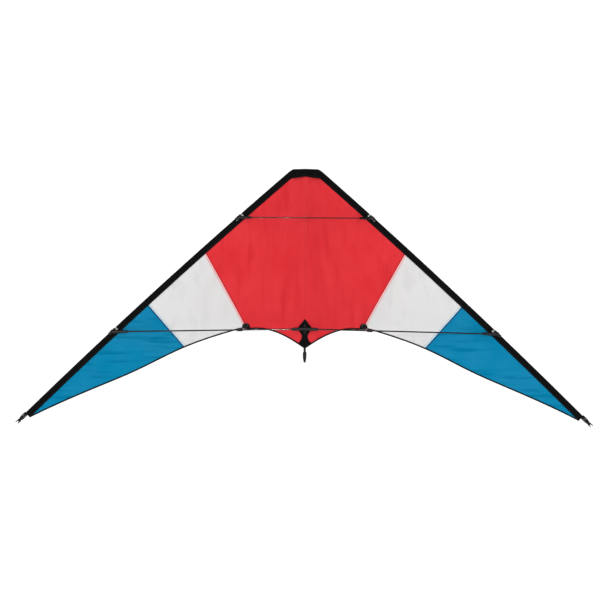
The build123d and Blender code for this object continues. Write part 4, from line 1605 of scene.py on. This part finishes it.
def soft_edged(node, body):
    """A moulding with the rounded edges that a mould leaves, made from the CAD node's own mesh."""
    obj = bpy.data.objects.new(f"{node}_moulding", NODES[node].data.copy())
    bpy.context.scene.collection.objects.link(obj)
    remesh = obj.modifiers.new("voxels", "REMESH")
    remesh.mode, remesh.voxel_size, remesh.use_smooth_shade = "VOXEL", FITTING_VOXEL, True
    smooth = obj.modifiers.new("smooth", "SMOOTH")
    smooth.factor, smooth.iterations = 0.5, FITTING_SMOOTH
    fewer = obj.modifiers.new("fewer", "DECIMATE")
    fewer.ratio = FITTING_KEEP
    bpy.context.view_layer.update()
    seen = obj.evaluated_get(bpy.context.evaluated_depsgraph_get())
    mesh = bpy.data.meshes.new_from_object(seen)
    obj.modifiers.clear()
    obj.data = mesh
    for polygon in mesh.polygons:
        polygon.use_smooth = True
    stands_for(obj, node)
    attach(obj, body)


BODY_OF = {node: body for body, nodes in frame["record"]["behaviour"]["bodies"].items() for node in nodes}
MOULDED = ["centre_fitting", "tail_nock", "spine_nose_cap"]
for side in SIDES:
    MOULDED += [f"{side}_{name}" for name in (
        "upper_connector", "lower_connector", "upper_stop_clip", "lower_stop_clip",
        "standoff_fitting", "standoff_end_cap", "tip_nock")]
for node in MOULDED:
    soft_edged(node, BODY_OF[node])

# ---------------------------------------------------------------- stage, light and camera

GLOW_PLACES = (-3.2, -1.4)       # y where the studio glows least, and from where it glows most
GLOW = (0.25, 0.80)
STUDIO_GREYS = ((0.36, 0.36, 0.36, 1), (0.38, 0.38, 0.38, 1))
STUDIO_R = 8.0
STUDIO_BEND = 2.0                # radius from the floor up into the wall
BEND_STEPS = 12
STUDIO_TOP = 7.0
STUDIO_STEPS = 72
FLOOR_BELOW = 0.30


def studio_white():
    """A pale sweep that glows behind the kite, and less on the flyer's side."""
    m = Material("studio white", Roughness=0.9)
    cloud = m.noise(m.place("Object"), 1.5, 2.0)
    m.set("Base Color", m.mix(cloud, *STUDIO_GREYS))
    m.set("Emission Color", (1, 1, 1, 1))
    y = m.add("ShaderNodeSeparateXYZ", "Y", {"Vector": m.place("Object")})
    m.set("Emission Strength", m.ramp(y, *GLOW_PLACES, *GLOW))
    return m.made


def backdrop():
    """A round pale studio: a flat floor that curves up into the wall on every side."""
    floor_z = cad_box[0].z - FLOOR_BELOW
    bend = angles_round(BEND_STEPS, turns=0.25) + [math.pi / 2]
    profile = [(0.0, floor_z)]
    profile += [(STUDIO_R - STUDIO_BEND * (1 - math.sin(a)), floor_z + STUDIO_BEND * (1 - math.cos(a)))
                for a in bend]
    profile.append((STUDIO_R, STUDIO_TOP))
    verts = [(r * math.cos(a), r * math.sin(a), z) for a in angles_round(STUDIO_STEPS) for r, z in profile]
    obj = link("studio_floor", verts, grid_faces(STUDIO_STEPS, len(profile), close_rows=True))
    obj.data.materials.append(studio_white())


def area_light(name, place, size, power):
    """A square light that points at the kite's middle."""
    data = bpy.data.lights.new(name, "AREA")
    data.shape, data.size, data.energy = "SQUARE", size, power
    obj = bpy.data.objects.new(name, data)
    obj.location = place
    obj.rotation_mode = "QUATERNION"
    obj.rotation_quaternion = (-Vector(place)).to_track_quat("-Z", "Y")
    bpy.context.scene.collection.objects.link(obj)
    return obj


VIEW_WIDTH = 1.728               # seen across at the kite
VIEW_CENTRE = (-0.0144, 0.0835)
VIEW_DISTANCE = 5.2
VIEW_ROLL = math.radians(-0.36)
VIEW_END = 60.0
SENSOR_WIDTH = 36.0              # in mm, as the lens


def camera():
    data = bpy.data.cameras.new("view")
    data.sensor_width = SENSOR_WIDTH
    data.lens = SENSOR_WIDTH * VIEW_DISTANCE / VIEW_WIDTH
    data.clip_end = VIEW_END
    obj = bpy.data.objects.new("view", data)
    obj.location = (VIEW_CENTRE[0], EDGE_Y - VIEW_DISTANCE, VIEW_CENTRE[1])
    obj.rotation_euler = (math.pi / 2, VIEW_ROLL, 0)
    bpy.context.scene.collection.objects.link(obj)
    bpy.context.scene.camera = obj


# name: (place, size, power)
LIGHTS = {
    "key": ((-2.2, -3.6, 3.2), 2.6, 58),
    "fill": ((2.8, -3.6, 1.2), 3.0, 28),
    "flash": ((-0.14, -5.0, 0.7), 0.16, 20),
    "glint": ((-0.14, -5.0, 0.72), 0.12, 75),
}
DAYLIGHT = 0.38


def lights():
    world = bpy.data.worlds.new("studio")
    world.use_nodes = True
    background = world.node_tree.nodes["Background"]
    background.inputs["Color"].default_value = (1, 1, 1, 1)
    background.inputs["Strength"].default_value = DAYLIGHT
    bpy.context.scene.world = world
    made = {name: area_light(name, *settings) for name, settings in LIGHTS.items()}
    made["glint"].visible_diffuse = False   # only for the sparkle on rods and clips


backdrop()
lights()
camera()
bpy.context.scene.view_settings.view_transform = "Standard"
